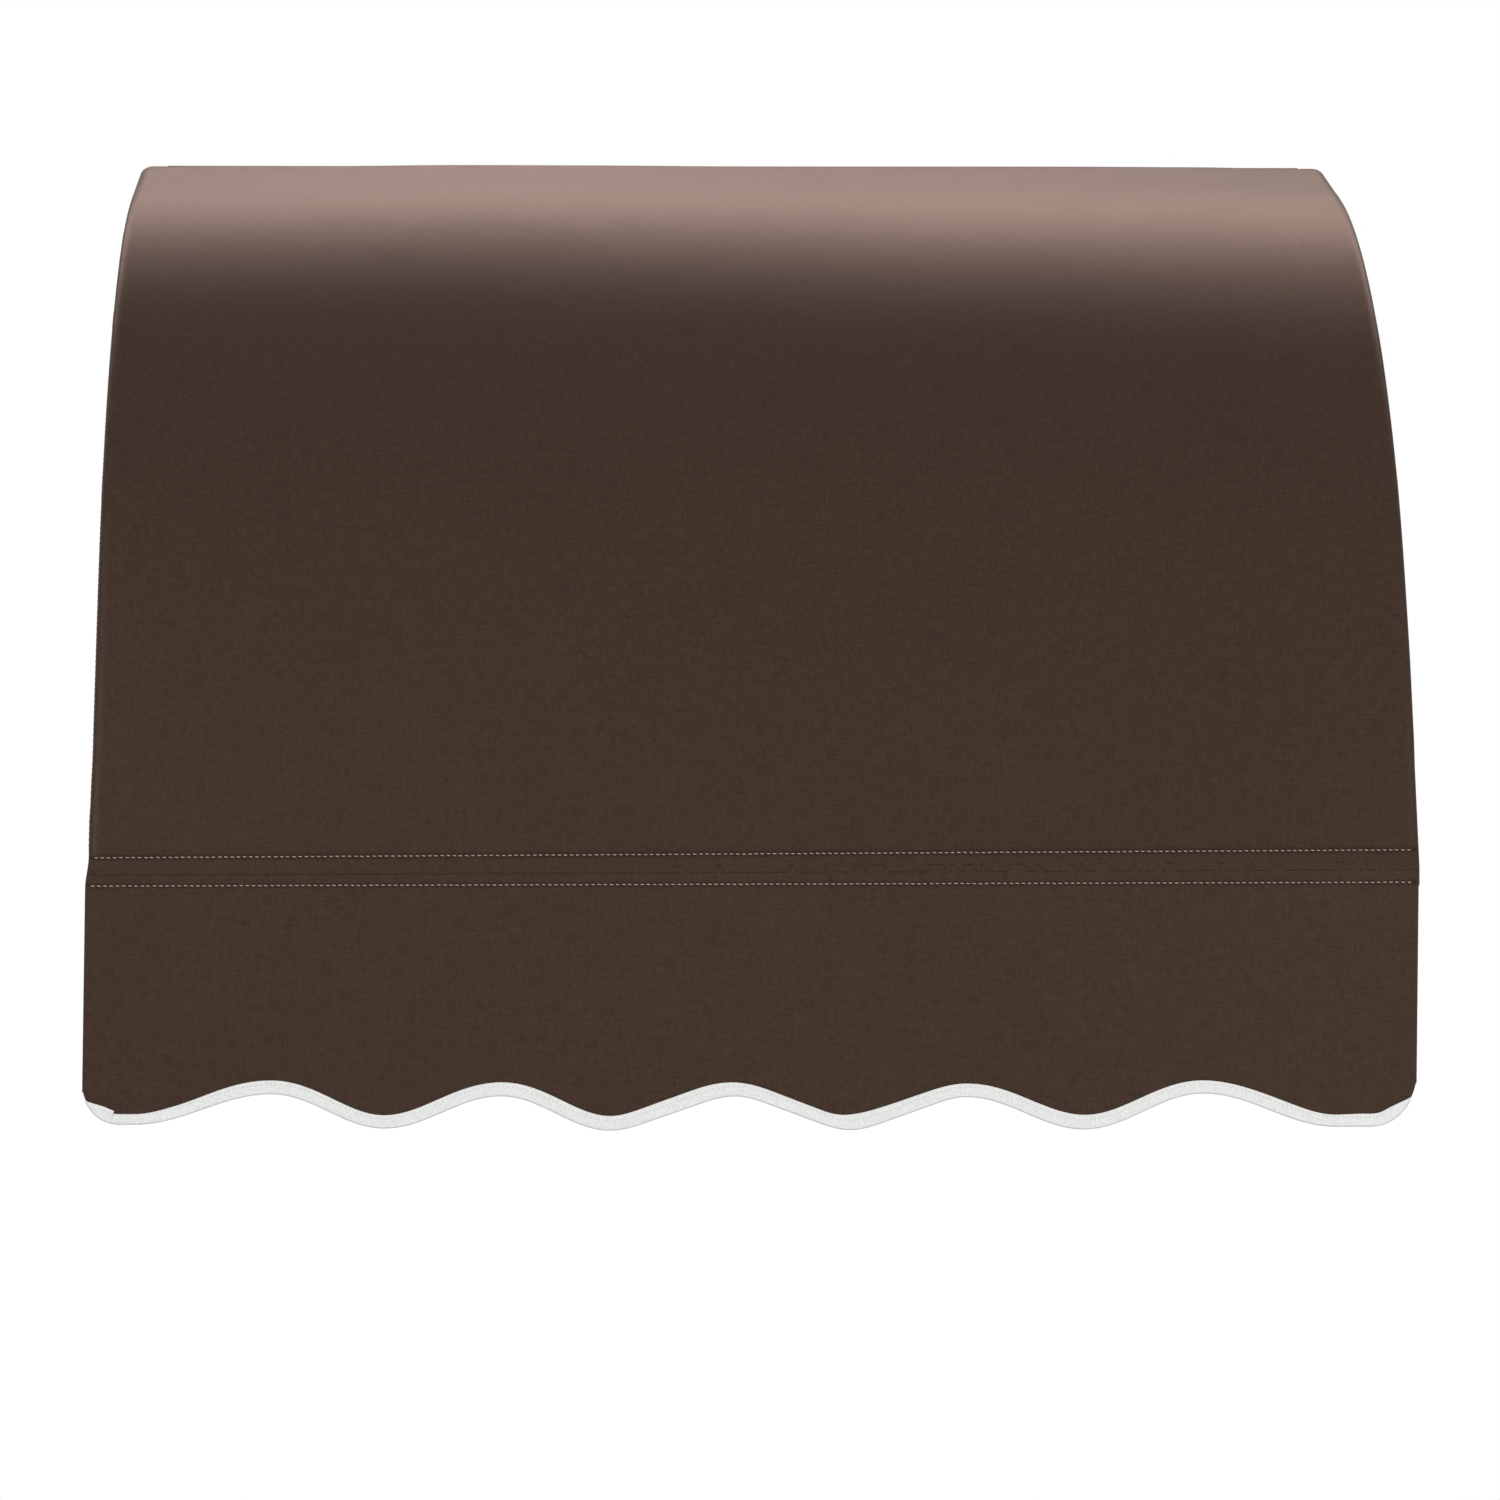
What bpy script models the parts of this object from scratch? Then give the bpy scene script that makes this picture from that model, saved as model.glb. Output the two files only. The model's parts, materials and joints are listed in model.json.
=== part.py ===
"""Fixed window awning: a curved canvas canopy on a tube frame, with a scalloped valance.

Metres, +X to the right, -Y away from the wall, +Z up. The origin is the middle of the head rail's
back face. The wall is the plane y = 0, and every piece that is fixed to it has its back there.
"""

import math

import bmesh
import bpy
from mathutils import Vector

# Overall sizes
CANOPY_WIDTH = 1.029  # over the side hems
PROJECTION = 0.610  # wall to the front of the valance
FRAME_HEIGHT = 0.610  # back top edge of the head rail to the middle of the front bar
VALANCE_DROP = 0.202  # middle of the front bar to the lowest point of the braid

FIT = 0.0003  # clearance between pieces that touch

# Tubes
TUBE_D = 0.0191
TUBE_WALL = 0.0012
SPIGOT_LENGTH = 0.030
SPIGOT_CHAMFER = 0.0015

# Slopes of the rafter below the level, in degrees, and its straight ends
HEAD_SLOPE = 16.0
MIDDLE_SLOPE = 64.0
FOOT_SLOPE = 72.4
HEAD_STRAIGHT = 0.120
FOOT_STRAIGHT = 0.060
UPPER_BEND_STEPS = 11
LOWER_BEND_STEPS = 3

# Head rail, an extrusion with a slot for the beaded edge of the cloth
RAIL_DEPTH = 0.026
RAIL_HEIGHT = 0.028
RAIL_WALL = 0.0018
RAIL_EDGE = 0.0012
SLOT_SETBACK = 0.0070
SLOT_BORE = 0.0076
SLOT_MOUTH = 0.0030
SLOT_LIP = 0.0016
BEAD_PLAY = 0.0004  # round the bead in its slot
FIXING_HOLE = 0.0055
FIXING_ACCESS = 0.010
FIXING_PLACES = (-0.40, -0.15, 0.15, 0.40)  # along the rail

# Castings
PLUG_LENGTH = 0.025
WALL_PLATE = 0.004
WALL_RELIEF = 0.0008
LUG_DROP = 0.028
LUG_INSET = 0.0004
COLLAR_PAST_TUBE = 0.0045  # a casting's collar, longer than a tube's radius
BALL_INSET = 0.0002
ARM_STAGGER = 0.0002  # so that no two arms of a casting start in one plane
BASE_WIDTH = 0.026
BASE_HEIGHT = 0.060
BASE_HOLE_PITCH = 0.042
SADDLE_COLLAR = 0.007
SADDLE_HORN = 0.0055
PURLIN_STATION = 7  # bend point that carries the purlin

# Screws
SCREW_D = 0.0042
SCREW_HEAD = 0.0090
SCREW_HEAD_HEIGHT = 0.0028
SCREW_RIM = 0.4  # share of the head's height
SCREW_CROWN = 0.7  # share of the head's width
SCREW_TIP = 0.5  # share of the shank's width
SCREW_LENGTH = 0.0075
SCREW_FROM_SHOULDER = 0.016
PURLIN_SCREW_LENGTH = 0.0150

# Cloth
CLOTH = 0.0012
HEM_WRAP = 96.0  # degrees round the rafter, from its top
HEM_STEPS = 6
CLOTH_SETBACK = 0.0062  # wall to the rear edge of the canopy
TONGUE_END = 0.0030
STITCH_FROM_TUBE = 0.00245  # edge of the front bar to a row of stitching
SEAM_MARGIN = 0.0020  # cloth past a row of stitching
SLEEVE_END_GAP = 0.052  # shoulder of the corner casting to the end of the sleeve
STRAP_WIDTH = 0.025
STRAP_THICKNESS = 0.0015
STRAP_TAB = 0.020
STRAP_FROM_HEM = 0.0010
STRAPS_FROM_PURLIN = (-5, -2, 2)  # bend facets that carry the straps, counted from the purlin's point

# Valance
VALANCE_EXTRA = 0.0003  # each side, past the canopy
VALANCE_MARGIN = 0.0010  # above the upper row of stitching
VALANCE_SHOULDER = 0.018
VALANCE_SHOULDER_FALL = 0.008
SCALLOP_PITCH = 0.180
SCALLOP_RISE = 0.0254
SCALLOP_SHIFT = -0.012
SCALLOP_ARCHES = 5
SCALLOP_STEPS = 10
CORNER_RADIUS = 0.040
CORNER_STEPS = 8
BRAID_WIDTH = 0.0102  # on each side of the cloth
BRAID = 0.0010
BRAID_END_STEPS = 2  # steps of each corner that the braid leaves bare

# Sizes that follow from those above
TUBE_R = TUBE_D / 2
BORE_R = TUBE_R - TUBE_WALL
COLLAR = TUBE_R + COLLAR_PAST_TUBE
SPIGOT_R = BORE_R - FIT
CLOTH_IN = TUBE_R + FIT
CLOTH_OUT = CLOTH_IN + CLOTH
VALANCE_IN = CLOTH_OUT + FIT
VALANCE_OUT = VALANCE_IN + CLOTH
STITCH_ROW = TUBE_R + STITCH_FROM_TUBE
BEAD_D = SLOT_BORE - 2 * BEAD_PLAY
RAFTER_X = CANOPY_WIDTH / 2 - CLOTH_OUT
RAIL_TOP = RAIL_HEIGHT / 2
RAIL_HALF = RAFTER_X - TUBE_R - FIT
HEAD, MIDDLE, FOOT, LEVEL = (math.radians(a) for a in (HEAD_SLOPE, MIDDLE_SLOPE, FOOT_SLOPE, 90.0))
BAR_Y = VALANCE_OUT - PROJECTION
BAR_Z = RAIL_TOP - FRAME_HEIGHT
SIDES = (("left", -1), ("right", 1))


def along(slope):
    """Direction in the side view, as (y, z), of a line that falls away from the wall at this slope."""
    return Vector((-math.cos(slope), -math.sin(slope)))


def outward(slope):
    """Direction square to that line, out through the cloth."""
    return Vector((-math.sin(slope), math.cos(slope)))


def at(x, point):
    """The point of the side view (y, z), placed at x."""
    return Vector((x, point[0], point[1]))


def rafter_stations():
    """Middle line of a rafter from the wall to the front bar, as (point, slope) pairs.

    The two bend radii are the ones that carry the line from the rail to the bar.
    """
    start = Vector((0.0, RAIL_TOP - TUBE_R / math.cos(HEAD)))
    bar = Vector((BAR_Y, BAR_Z))
    bends = bar - start - along(HEAD) * HEAD_STRAIGHT - along(FOOT) * FOOT_STRAIGHT
    upper = outward(MIDDLE) - outward(HEAD)
    lower = outward(FOOT) - outward(MIDDLE)
    cross = upper.x * lower.y - upper.y * lower.x
    upper_radius = (bends.x * lower.y - bends.y * lower.x) / cross
    lower_radius = (upper.x * bends.y - upper.y * bends.x) / cross

    stations = [(start, HEAD)]
    point = start + along(HEAD) * HEAD_STRAIGHT
    for first, last, radius, steps in (
        (HEAD, MIDDLE, upper_radius, UPPER_BEND_STEPS),
        (MIDDLE, FOOT, lower_radius, LOWER_BEND_STEPS),
    ):
        centre = point - outward(first) * radius
        begin = 0 if first == HEAD else 1
        for step in range(begin, steps + 1):
            slope = first + (last - first) * step / steps
            stations.append((centre + outward(slope) * radius, slope))
        point = stations[-1][0]
    stations.append((bar, FOOT))
    return stations


STATIONS = rafter_stations()


def bend_station(number):
    """The numbered point of the upper bend, 0 being where the head straight ends."""
    return STATIONS[1 + number]


def facet(number):
    """Middle and slope of the straight piece of the upper bend that follows that point."""
    first, last = bend_station(number), bend_station(number + 1)
    return (first[0] + last[0]) / 2, (first[1] + last[1]) / 2


def material(name, colour, roughness, metallic):
    shader = bpy.data.materials.new(name)
    shader.use_nodes = True
    principled = shader.node_tree.nodes["Principled BSDF"]
    principled.inputs["Base Color"].default_value = (*colour, 1.0)
    principled.inputs["Roughness"].default_value = roughness
    principled.inputs["Metallic"].default_value = metallic
    shader.diffuse_color = (*colour, 1.0)
    return shader


def make_materials():
    return {
        "galvanised_tube": material("galvanised_tube", (0.56, 0.57, 0.58), 0.38, 1.0),
        "extruded_aluminium": material("extruded_aluminium", (0.78, 0.79, 0.80), 0.30, 1.0),
        "cast_aluminium": material("cast_aluminium", (0.50, 0.51, 0.52), 0.55, 1.0),
        "zinc_screw": material("zinc_screw", (0.66, 0.66, 0.62), 0.30, 1.0),
        "brown_canvas": material("brown_canvas", (0.056, 0.034, 0.026), 0.90, 0.0),
        "white_braid": material("white_braid", (0.80, 0.81, 0.79), 0.80, 0.0),
        "black_webbing": material("black_webbing", (0.022, 0.021, 0.020), 0.85, 0.0),
        "nylon_bead": material("nylon_bead", (0.72, 0.72, 0.70), 0.45, 0.0),
    }


def finish_mesh(name, mesh_builder, shader):
    """Turns a bmesh into an object with its faces pointing out and its round faces shaded smooth."""
    bmesh.ops.recalc_face_normals(mesh_builder, faces=mesh_builder.faces)
    mesh = bpy.data.meshes.new(name)
    mesh_builder.to_mesh(mesh)
    mesh_builder.free()
    mesh.shade_smooth()
    mesh.set_sharp_from_angle(angle=math.radians(35))
    mesh.materials.append(shader)
    piece = bpy.data.objects.new(name, mesh)
    bpy.context.collection.objects.link(piece)
    return piece


def sweep(name, rings, shader):
    """A solid whose skin joins one ring of points to the next, closed with a face at each end."""
    builder = bmesh.new()
    loops = [[builder.verts.new(point) for point in ring] for ring in rings]
    for first, second in zip(loops, loops[1:]):
        for i in range(len(first)):
            j = (i + 1) % len(first)
            builder.faces.new((first[i], first[j], second[j], second[i]))
    builder.faces.new(loops[0])
    builder.faces.new(loops[-1])
    return finish_mesh(name, builder, shader)


def circle(centre, across, up, radius, sides):
    """Points round a centre, in the plane of two unit vectors."""
    turns = [2 * math.pi * i / sides for i in range(sides)]
    return [centre + across * (radius * math.cos(t)) + up * (radius * math.sin(t)) for t in turns]


def square_to(axis):
    """Two unit vectors square to the axis and to each other."""
    helper = Vector((1, 0, 0)) if abs(axis.x) < 0.9 else Vector((0, 0, 1))
    across = axis.cross(helper).normalized()
    return across, axis.cross(across).normalized()


def turned(name, profile, start, axis, shader, sides=20):
    """A turned solid: (radius, distance from the start) pairs along the axis."""
    across, up = square_to(axis)
    rings = [circle(start + axis * distance, across, up, radius, sides) for radius, distance in profile]
    return sweep(name, rings, shader)


def tube(name, path, shader, sides=16):
    """An open tube through (point, axis, up) stations."""
    builder = bmesh.new()
    skins = []
    for radius in (TUBE_R, BORE_R):
        rings = [circle(point, axis.cross(up), up, radius, sides) for point, axis, up in path]
        skins.append([[builder.verts.new(p) for p in ring] for ring in rings])
    for loops in skins:
        for first, second in zip(loops, loops[1:]):
            for i in range(sides):
                j = (i + 1) % sides
                builder.faces.new((first[i], first[j], second[j], second[i]))
    outer, inner = skins
    for end in (0, -1):
        for i in range(sides):
            j = (i + 1) % sides
            builder.faces.new((outer[end][i], outer[end][j], inner[end][j], inner[end][i]))
    return finish_mesh(name, builder, shader)


def straight_tube(name, start, end, shader):
    axis = (end - start).normalized()
    up = square_to(axis)[1]
    return tube(name, [(start, axis, up), (end, axis, up)], shader, sides=24)


def combine(piece, helper, operation):
    """Adds a Boolean to the piece. The helper itself is left out of renders."""
    helper.hide_render = True
    helper.display_type = "WIRE"
    modifier = piece.modifiers.new(f"{operation.lower()}_{helper.name}", "BOOLEAN")
    modifier.operation = operation
    modifier.solver = "EXACT"
    modifier.object = helper


def arc(centre, radius, first, last, steps):
    """Points of an arc in the plane between two angles, in radians."""
    angles = [first + (last - first) * i / steps for i in range(steps + 1)]
    return [centre + Vector((math.cos(a), math.sin(a))) * radius for a in angles]


def rounded(corners, steps=3):
    """An outline in the plane with some corners rounded: (point, radius) pairs, 0 for a sharp one."""
    points = []
    for i, (corner, radius) in enumerate(corners):
        corner = Vector(corner)
        if radius == 0:
            points.append(corner)
            continue
        before = (Vector(corners[i - 1][0]) - corner).normalized()
        after = (Vector(corners[(i + 1) % len(corners)][0]) - corner).normalized()
        half = before.angle(after) / 2
        centre = corner + (before + after).normalized() * (radius / math.sin(half))
        first = corner + before * (radius / math.tan(half)) - centre
        last = corner + after * (radius / math.tan(half)) - centre
        begin = math.atan2(first.y, first.x)
        turn = math.remainder(math.atan2(last.y, last.x) - begin, 2 * math.pi)
        points += arc(centre, radius, begin, begin + turn, steps)
    return points


def ribbon(middle_line, thickness):
    """Outline of a strip of this thickness about an open line of points in the plane."""
    sides = ([], [])
    for i, point in enumerate(middle_line):
        before = (point - middle_line[max(i - 1, 0)]).normalized()
        after = (middle_line[min(i + 1, len(middle_line) - 1)] - point).normalized()
        if i == 0:
            before = after
        if i == len(middle_line) - 1:
            after = before
        run = (before + after).normalized()
        square = Vector((-run.y, run.x)) * (thickness / 2 / run.dot(after))
        sides[0].append(point + square)
        sides[1].append(point - square)
    return sides[0] + sides[1][::-1]


def rail_top(y):
    """Height of the head rail's sloping top face."""
    return RAIL_TOP + y * math.tan(HEAD)


def slot_centre():
    depth = SLOT_LIP + math.sqrt((SLOT_BORE / 2) ** 2 - (SLOT_MOUTH / 2) ** 2)
    return Vector((-SLOT_SETBACK, rail_top(-SLOT_SETBACK) - depth))


def make_head_rail(shader):
    """Hollow rail with a flat back, a top that follows the cloth and a round slot for the bead."""
    slot = slot_centre()
    half_mouth = SLOT_MOUTH / 2
    lip = math.acos(half_mouth / (SLOT_BORE / 2))
    bore = arc(slot, SLOT_BORE / 2, math.pi - lip, 2 * math.pi + lip, 14)
    front_lip, back_lip = -SLOT_SETBACK - half_mouth, -SLOT_SETBACK + half_mouth
    corners = rounded([((0, RAIL_TOP), 0), ((0, -RAIL_TOP), RAIL_EDGE), ((-RAIL_DEPTH, -RAIL_TOP), RAIL_EDGE),
                       ((-RAIL_DEPTH, rail_top(-RAIL_DEPTH)), RAIL_EDGE)])
    front_edge = Vector((front_lip, rail_top(front_lip)))
    back_edge = Vector((back_lip, rail_top(back_lip)))
    outline = [*corners, front_edge, *bore, back_edge]
    rail = sweep("head_rail", [[at(x, p) for p in outline] for x in (-RAIL_HALF, RAIL_HALF)], shader)

    low, high = -RAIL_TOP + RAIL_WALL, slot.y - SLOT_BORE / 2 - RAIL_WALL
    back, front = -RAIL_WALL, -RAIL_DEPTH + RAIL_WALL
    step = slot.x - SLOT_BORE / 2 - RAIL_WALL
    chamber = [(back, low), (front, low), (front, rail_top(front) - RAIL_WALL),
               (step, rail_top(step) - RAIL_WALL), (step, high), (back, high)]
    past_end = RAIL_HALF + RAIL_WALL
    combine(rail, sweep("rail_chamber", [[at(x, p) for p in chamber] for x in (-past_end, past_end)], shader),
            "DIFFERENCE")
    middle = (low + high) / 2
    for number, x in enumerate(FIXING_PLACES, 1):
        hole = [(FIXING_ACCESS / 2, 0), (FIXING_ACCESS / 2, RAIL_DEPTH / 2),
                (FIXING_HOLE / 2, RAIL_DEPTH / 2), (FIXING_HOLE / 2, RAIL_DEPTH + 2 * RAIL_WALL)]
        start = Vector((x, -RAIL_DEPTH - RAIL_WALL, middle))
        combine(rail, turned(f"rail_fixing_{number}", hole, start, Vector((0, 1, 0)), shader), "DIFFERENCE")
    return rail


def spigot(name, shoulder, axis, shader, collar=0.0, root=0.0):
    """A tube's inner peg, on a collar of the tube's own diameter where one is given."""
    tip = SPIGOT_LENGTH - SPIGOT_CHAMFER
    profile = [(TUBE_R, -collar), (TUBE_R, 0)] if collar else []
    profile += [(SPIGOT_R, 0 if collar else -root), (SPIGOT_R, tip)]
    profile += [(SPIGOT_R - SPIGOT_CHAMFER, SPIGOT_LENGTH)]
    return turned(name, profile, shoulder, axis, shader)


def head_shoulder():
    """Where the rafter's middle line leaves the head casting, so that its sloping front clears the rail plug."""
    start = STATIONS[0][0]
    return start + along(HEAD) * (RAIL_DEPTH / math.cos(HEAD) + RAIL_TOP * math.tan(HEAD))


def make_head_corner(side, hand, shader):
    """Casting at the rail's end: it plugs into the rail, carries the rafter and is fixed to the wall."""
    x = hand * RAFTER_X
    shoulder = head_shoulder()
    foot = -(shoulder.y + RAIL_TOP) / math.cos(HEAD)
    section = [(-TUBE_R, foot), (-TUBE_R, TUBE_R)]
    section += [(p.x, p.y) for p in arc(Vector((0, 0)), TUBE_R, LEVEL, 0, 6)]
    section += [(TUBE_R, foot)]
    front, back = [], []
    for across, height in section:
        point = shoulder + outward(HEAD) * height
        front.append(at(x + hand * across, point))
        line = (-WALL_RELIEF - point.x) / along(HEAD).x
        rear = Vector((-WALL_RELIEF, -RAIL_TOP)) if height == foot else point + along(HEAD) * line
        back.append(at(x + hand * across, rear))
    casting = sweep(f"head_corner_{side}", [back, front], shader)

    half = TUBE_R - LUG_INSET
    low = -RAIL_TOP - LUG_DROP
    plate = rounded([((-half, low), half - LUG_INSET), ((half, low), half - LUG_INSET),
                     ((half, RAIL_TOP / 3), 0), ((-half, RAIL_TOP / 3), 0)], steps=6)
    rings = [[Vector((x + p.x, y, p.y)) for p in plate] for y in (0, -WALL_PLATE)]
    combine(casting, sweep(f"head_lug_{side}", rings, shader), "UNION")

    slot = slot_centre()
    low, high = -RAIL_TOP + RAIL_WALL + FIT, slot.y - SLOT_BORE / 2 - RAIL_WALL - FIT
    back_y, front_y = -RAIL_WALL - FIT, -RAIL_DEPTH + RAIL_WALL + FIT
    box = [(back_y, low), (front_y, low), (front_y, high), (back_y, high)]
    root, tip = hand * RAFTER_X, hand * (RAIL_HALF - PLUG_LENGTH)
    plug = sweep(f"rail_plug_{side}", [[at(end, p) for p in box] for end in (root, tip)], shader)
    combine(casting, plug, "UNION")

    axis = at(0, along(HEAD))
    peg = spigot(f"rafter_peg_{side}", at(x, shoulder), axis, shader, root=RAIL_DEPTH / 3)
    combine(casting, peg, "UNION")
    hole = turned(f"lug_hole_{side}", [(FIXING_HOLE / 2, -WALL_PLATE), (FIXING_HOLE / 2, 2 * WALL_PLATE)],
                  Vector((x, 0, -RAIL_TOP - LUG_DROP + TUBE_R)), Vector((0, -1, 0)), shader)
    combine(casting, hole, "DIFFERENCE")
    return casting


def make_rafter(side, hand, shader):
    """Bent tube from the head casting to the front corner."""
    x = hand * RAFTER_X
    first = head_shoulder() + along(HEAD) * FIT
    last = STATIONS[-1][0] - along(FOOT) * (COLLAR + FIT)
    line = [(first, HEAD), *STATIONS[1:-1], (last, FOOT)]
    path = [(at(x, point), at(0, along(slope)), at(0, outward(slope))) for point, slope in line]
    return tube(f"rafter_{side}", path, shader)


def make_front_corner(side, hand, shader):
    """Three-way casting: the rafter from above, the side bar from the wall, the front bar from inside."""
    middle = Vector((hand * RAFTER_X, BAR_Y, BAR_Z))
    ball = bmesh.new()
    bmesh.ops.create_uvsphere(ball, u_segments=16, v_segments=9, radius=TUBE_R - BALL_INSET)
    for vertex in ball.verts:
        vertex.co += middle
    casting = finish_mesh(f"front_corner_{side}", ball, shader)
    arms = (("rafter_arm", at(0, -along(FOOT))), ("side_arm", Vector((0, 1, 0))),
            ("front_arm", Vector((-hand, 0, 0))))
    for number, (name, axis) in enumerate(arms, 1):
        length = COLLAR - number * ARM_STAGGER
        arm = spigot(f"{name}_{side}", middle + axis * COLLAR, axis, shader, collar=length)
        combine(casting, arm, "UNION")
    return casting


def make_wall_base(side, hand, shader):
    """Flanged socket on the wall for the end of a side bar."""
    x, half = hand * RAFTER_X, BASE_WIDTH / 2
    top = BASE_HEIGHT / 2
    corner = half - FIT
    outline = rounded([((-half, -top), corner), ((half, -top), corner),
                       ((half, top), corner), ((-half, top), corner)], steps=5)
    rings = [[Vector((x + p.x, y, BAR_Z + p.y)) for p in outline] for y in (0, -WALL_PLATE)]
    base = sweep(f"wall_base_{side}", rings, shader)
    away = Vector((0, -1, 0))
    peg = spigot(f"wall_peg_{side}", Vector((x, -WALL_PLATE, BAR_Z)), away, shader, root=WALL_PLATE / 2)
    combine(base, peg, "UNION")
    for place, rise in (("upper", 1), ("lower", -1)):
        start = Vector((x, 0, BAR_Z + rise * BASE_HOLE_PITCH / 2))
        profile = [(FIXING_HOLE / 2, -WALL_PLATE), (FIXING_HOLE / 2, 2 * WALL_PLATE)]
        combine(base, turned(f"base_hole_{place}_{side}", profile, start, away, shader), "DIFFERENCE")
    return base


def make_side_bar(side, hand, shader):
    x = hand * RAFTER_X
    front = Vector((x, BAR_Y + COLLAR + FIT, BAR_Z))
    back = Vector((x, -WALL_PLATE - FIT, BAR_Z))
    return straight_tube(f"side_bar_{side}", front, back, shader)


def make_cross_tube(name, point, shoulder, shader):
    """A tube across the frame, between shoulders that stand this far in from the rafters' middle lines."""
    half = RAFTER_X - shoulder - FIT
    return straight_tube(name, at(-half, point), at(half, point), shader)


def make_purlin_saddle(side, hand, shader):
    """Plug in the purlin's end whose hollowed face sits on the rafter."""
    point, slope = bend_station(PURLIN_STATION)
    shoulder = TUBE_R + FIT + SADDLE_COLLAR
    axis = Vector((-hand, 0, 0))
    saddle = spigot(f"purlin_saddle_{side}", at(hand * RAFTER_X, point) + axis * shoulder, axis, shader,
                    collar=shoulder - SADDLE_HORN)
    reach = at(0, along(slope))
    hollow = turned(f"saddle_hollow_{side}", [(CLOTH_IN, -TUBE_D), (CLOTH_IN, TUBE_D)],
                    at(hand * RAFTER_X, point), reach, shader, sides=32)
    combine(saddle, hollow, "DIFFERENCE")
    return saddle


def make_screw(name, seat, away, length, pieces, shader):
    """A pan-head screw with its head on the seat, and the hole for it in each piece it passes."""
    head, shank = SCREW_HEAD / 2, SCREW_D / 2
    profile = [(shank * SCREW_TIP, -length), (shank, -length + shank), (shank, 0), (head, 0),
               (head, SCREW_HEAD_HEIGHT * SCREW_RIM), (head * SCREW_CROWN, SCREW_HEAD_HEIGHT)]
    screw = turned(name, profile, seat + away * FIT, away, shader, sides=10)
    pilot = [(shank + FIT, -length - 2 * FIT), (shank + FIT, SCREW_HEAD_HEIGHT)]
    drill = turned(f"pilot_{name}", pilot, seat, away, shader, sides=10)
    for piece in pieces:
        combine(piece, drill, "DIFFERENCE")
    return screw


def cloth_section(x_out, radius):
    """One face of the canopy across its width, as (x, height above the rafter's middle line)."""
    wrap = [math.radians(HEM_WRAP) * i / HEM_STEPS for i in range(HEM_STEPS, -1, -1)]
    left = [(-x_out - radius * math.sin(a), radius * math.cos(a)) for a in wrap]
    return left + [(-x, height) for x, height in reversed(left)]


def front_stations(below):
    """Stations round the front bar, from the rafter's last slope to upright, and straight down."""
    bar = STATIONS[-1][0]
    turn = [(bar, FOOT + (LEVEL - FOOT) * i / 2) for i in (1, 2)]
    return [*turn, (bar + along(LEVEL) * below, LEVEL)]


def make_canopy(shader):
    """The cloth roof: over the rail and the rafters, its hems round them, and down over the front bar."""
    ring = cloth_section(RAFTER_X, CLOTH_OUT) + cloth_section(RAFTER_X, CLOTH_IN)[::-1]
    start = STATIONS[0][0]
    back_from_wall = CLOTH_SETBACK - CLOTH_OUT * math.sin(HEAD)
    rear = start + along(HEAD) * (back_from_wall / math.cos(HEAD))
    stations = [(rear, HEAD), *STATIONS[1:], *front_stations(STITCH_ROW + SEAM_MARGIN)]
    rings = []
    for point, slope in stations:
        rings.append([at(x, point + outward(slope) * height) for x, height in ring])
    canopy = sweep("canopy", rings, shader)

    slot = slot_centre()
    half = CLOTH / 2
    top = rail_top(slot.x) + FIT + half
    tongue = [(slot.x - half, slot.y + BEAD_D / 2 + FIT), (slot.x + half, slot.y + BEAD_D / 2 + FIT),
              (slot.x + half, top), (slot.x - half, top)]
    reach = RAIL_HALF - TONGUE_END
    combine(canopy, sweep("canopy_tongue", [[at(x, p) for p in tongue] for x in (-reach, reach)], shader),
            "UNION")
    return canopy


def make_bead(shader):
    """Cord sewn into the rear edge of the cloth, which the rail's slot holds."""
    reach = RAIL_HALF - TONGUE_END
    start = at(-reach, slot_centre())
    return turned("edge_bead", [(BEAD_D / 2, 0), (BEAD_D / 2, 2 * reach)], start, Vector((1, 0, 0)), shader,
                  sides=16)


def make_sleeve(shader):
    """Strip sewn behind the cloth that holds the front bar, with a flat tab above and below it."""
    bar = Vector((BAR_Y, BAR_Z))
    radius = CLOTH_IN + CLOTH / 2
    tab = CLOTH_IN - FIT - CLOTH / 2
    upper_fold = bar + outward(FOOT) * tab - along(FOOT) * radius
    lower_fold = bar + outward(LEVEL) * tab + along(LEVEL) * radius
    reach = STITCH_ROW + SEAM_MARGIN - radius
    upper_tab = upper_fold - along(FOOT) * reach
    lower_tab = lower_fold + along(LEVEL) * reach
    line = [upper_tab, upper_fold, *arc(bar, radius, FOOT, -LEVEL, 16), lower_fold, lower_tab]
    outline = ribbon(line, CLOTH)
    half = RAFTER_X - COLLAR - SLEEVE_END_GAP
    return sweep("bar_sleeve", [[at(x, p) for p in outline] for x in (-half, half)], shader)


def make_strap(side, hand, number, shader):
    """Webbing loop that passes under the rafter and holds the hem to the cloth's underside."""
    point, slope = facet(PURLIN_STATION + STRAPS_FROM_PURLIN[number - 1])
    radius = CLOTH_IN + STRAP_THICKNESS / 2
    hem_end = LEVEL - math.radians(HEM_WRAP)
    under = arc(Vector((0, 0)), radius, hem_end - STRAP_FROM_HEM / radius, -2 * LEVEL, 12)
    tab = CLOTH_IN - FIT - STRAP_THICKNESS / 2
    bend = 2 * STRAP_THICKNESS
    line = [*under, *arc(Vector((-radius - bend, tab - bend)), bend, 0, LEVEL, 2),
            Vector((-radius - STRAP_TAB, tab))]
    outline = ribbon(line, STRAP_THICKNESS)
    rings = []
    for step in (-0.5, 0.5):
        middle = point + along(slope) * (step * STRAP_WIDTH)
        rings.append([at(hand * (RAFTER_X + p.x), middle + outward(slope) * p.y) for p in outline])
    return sweep(f"hem_strap_{side}_{number}", rings, shader)


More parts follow.
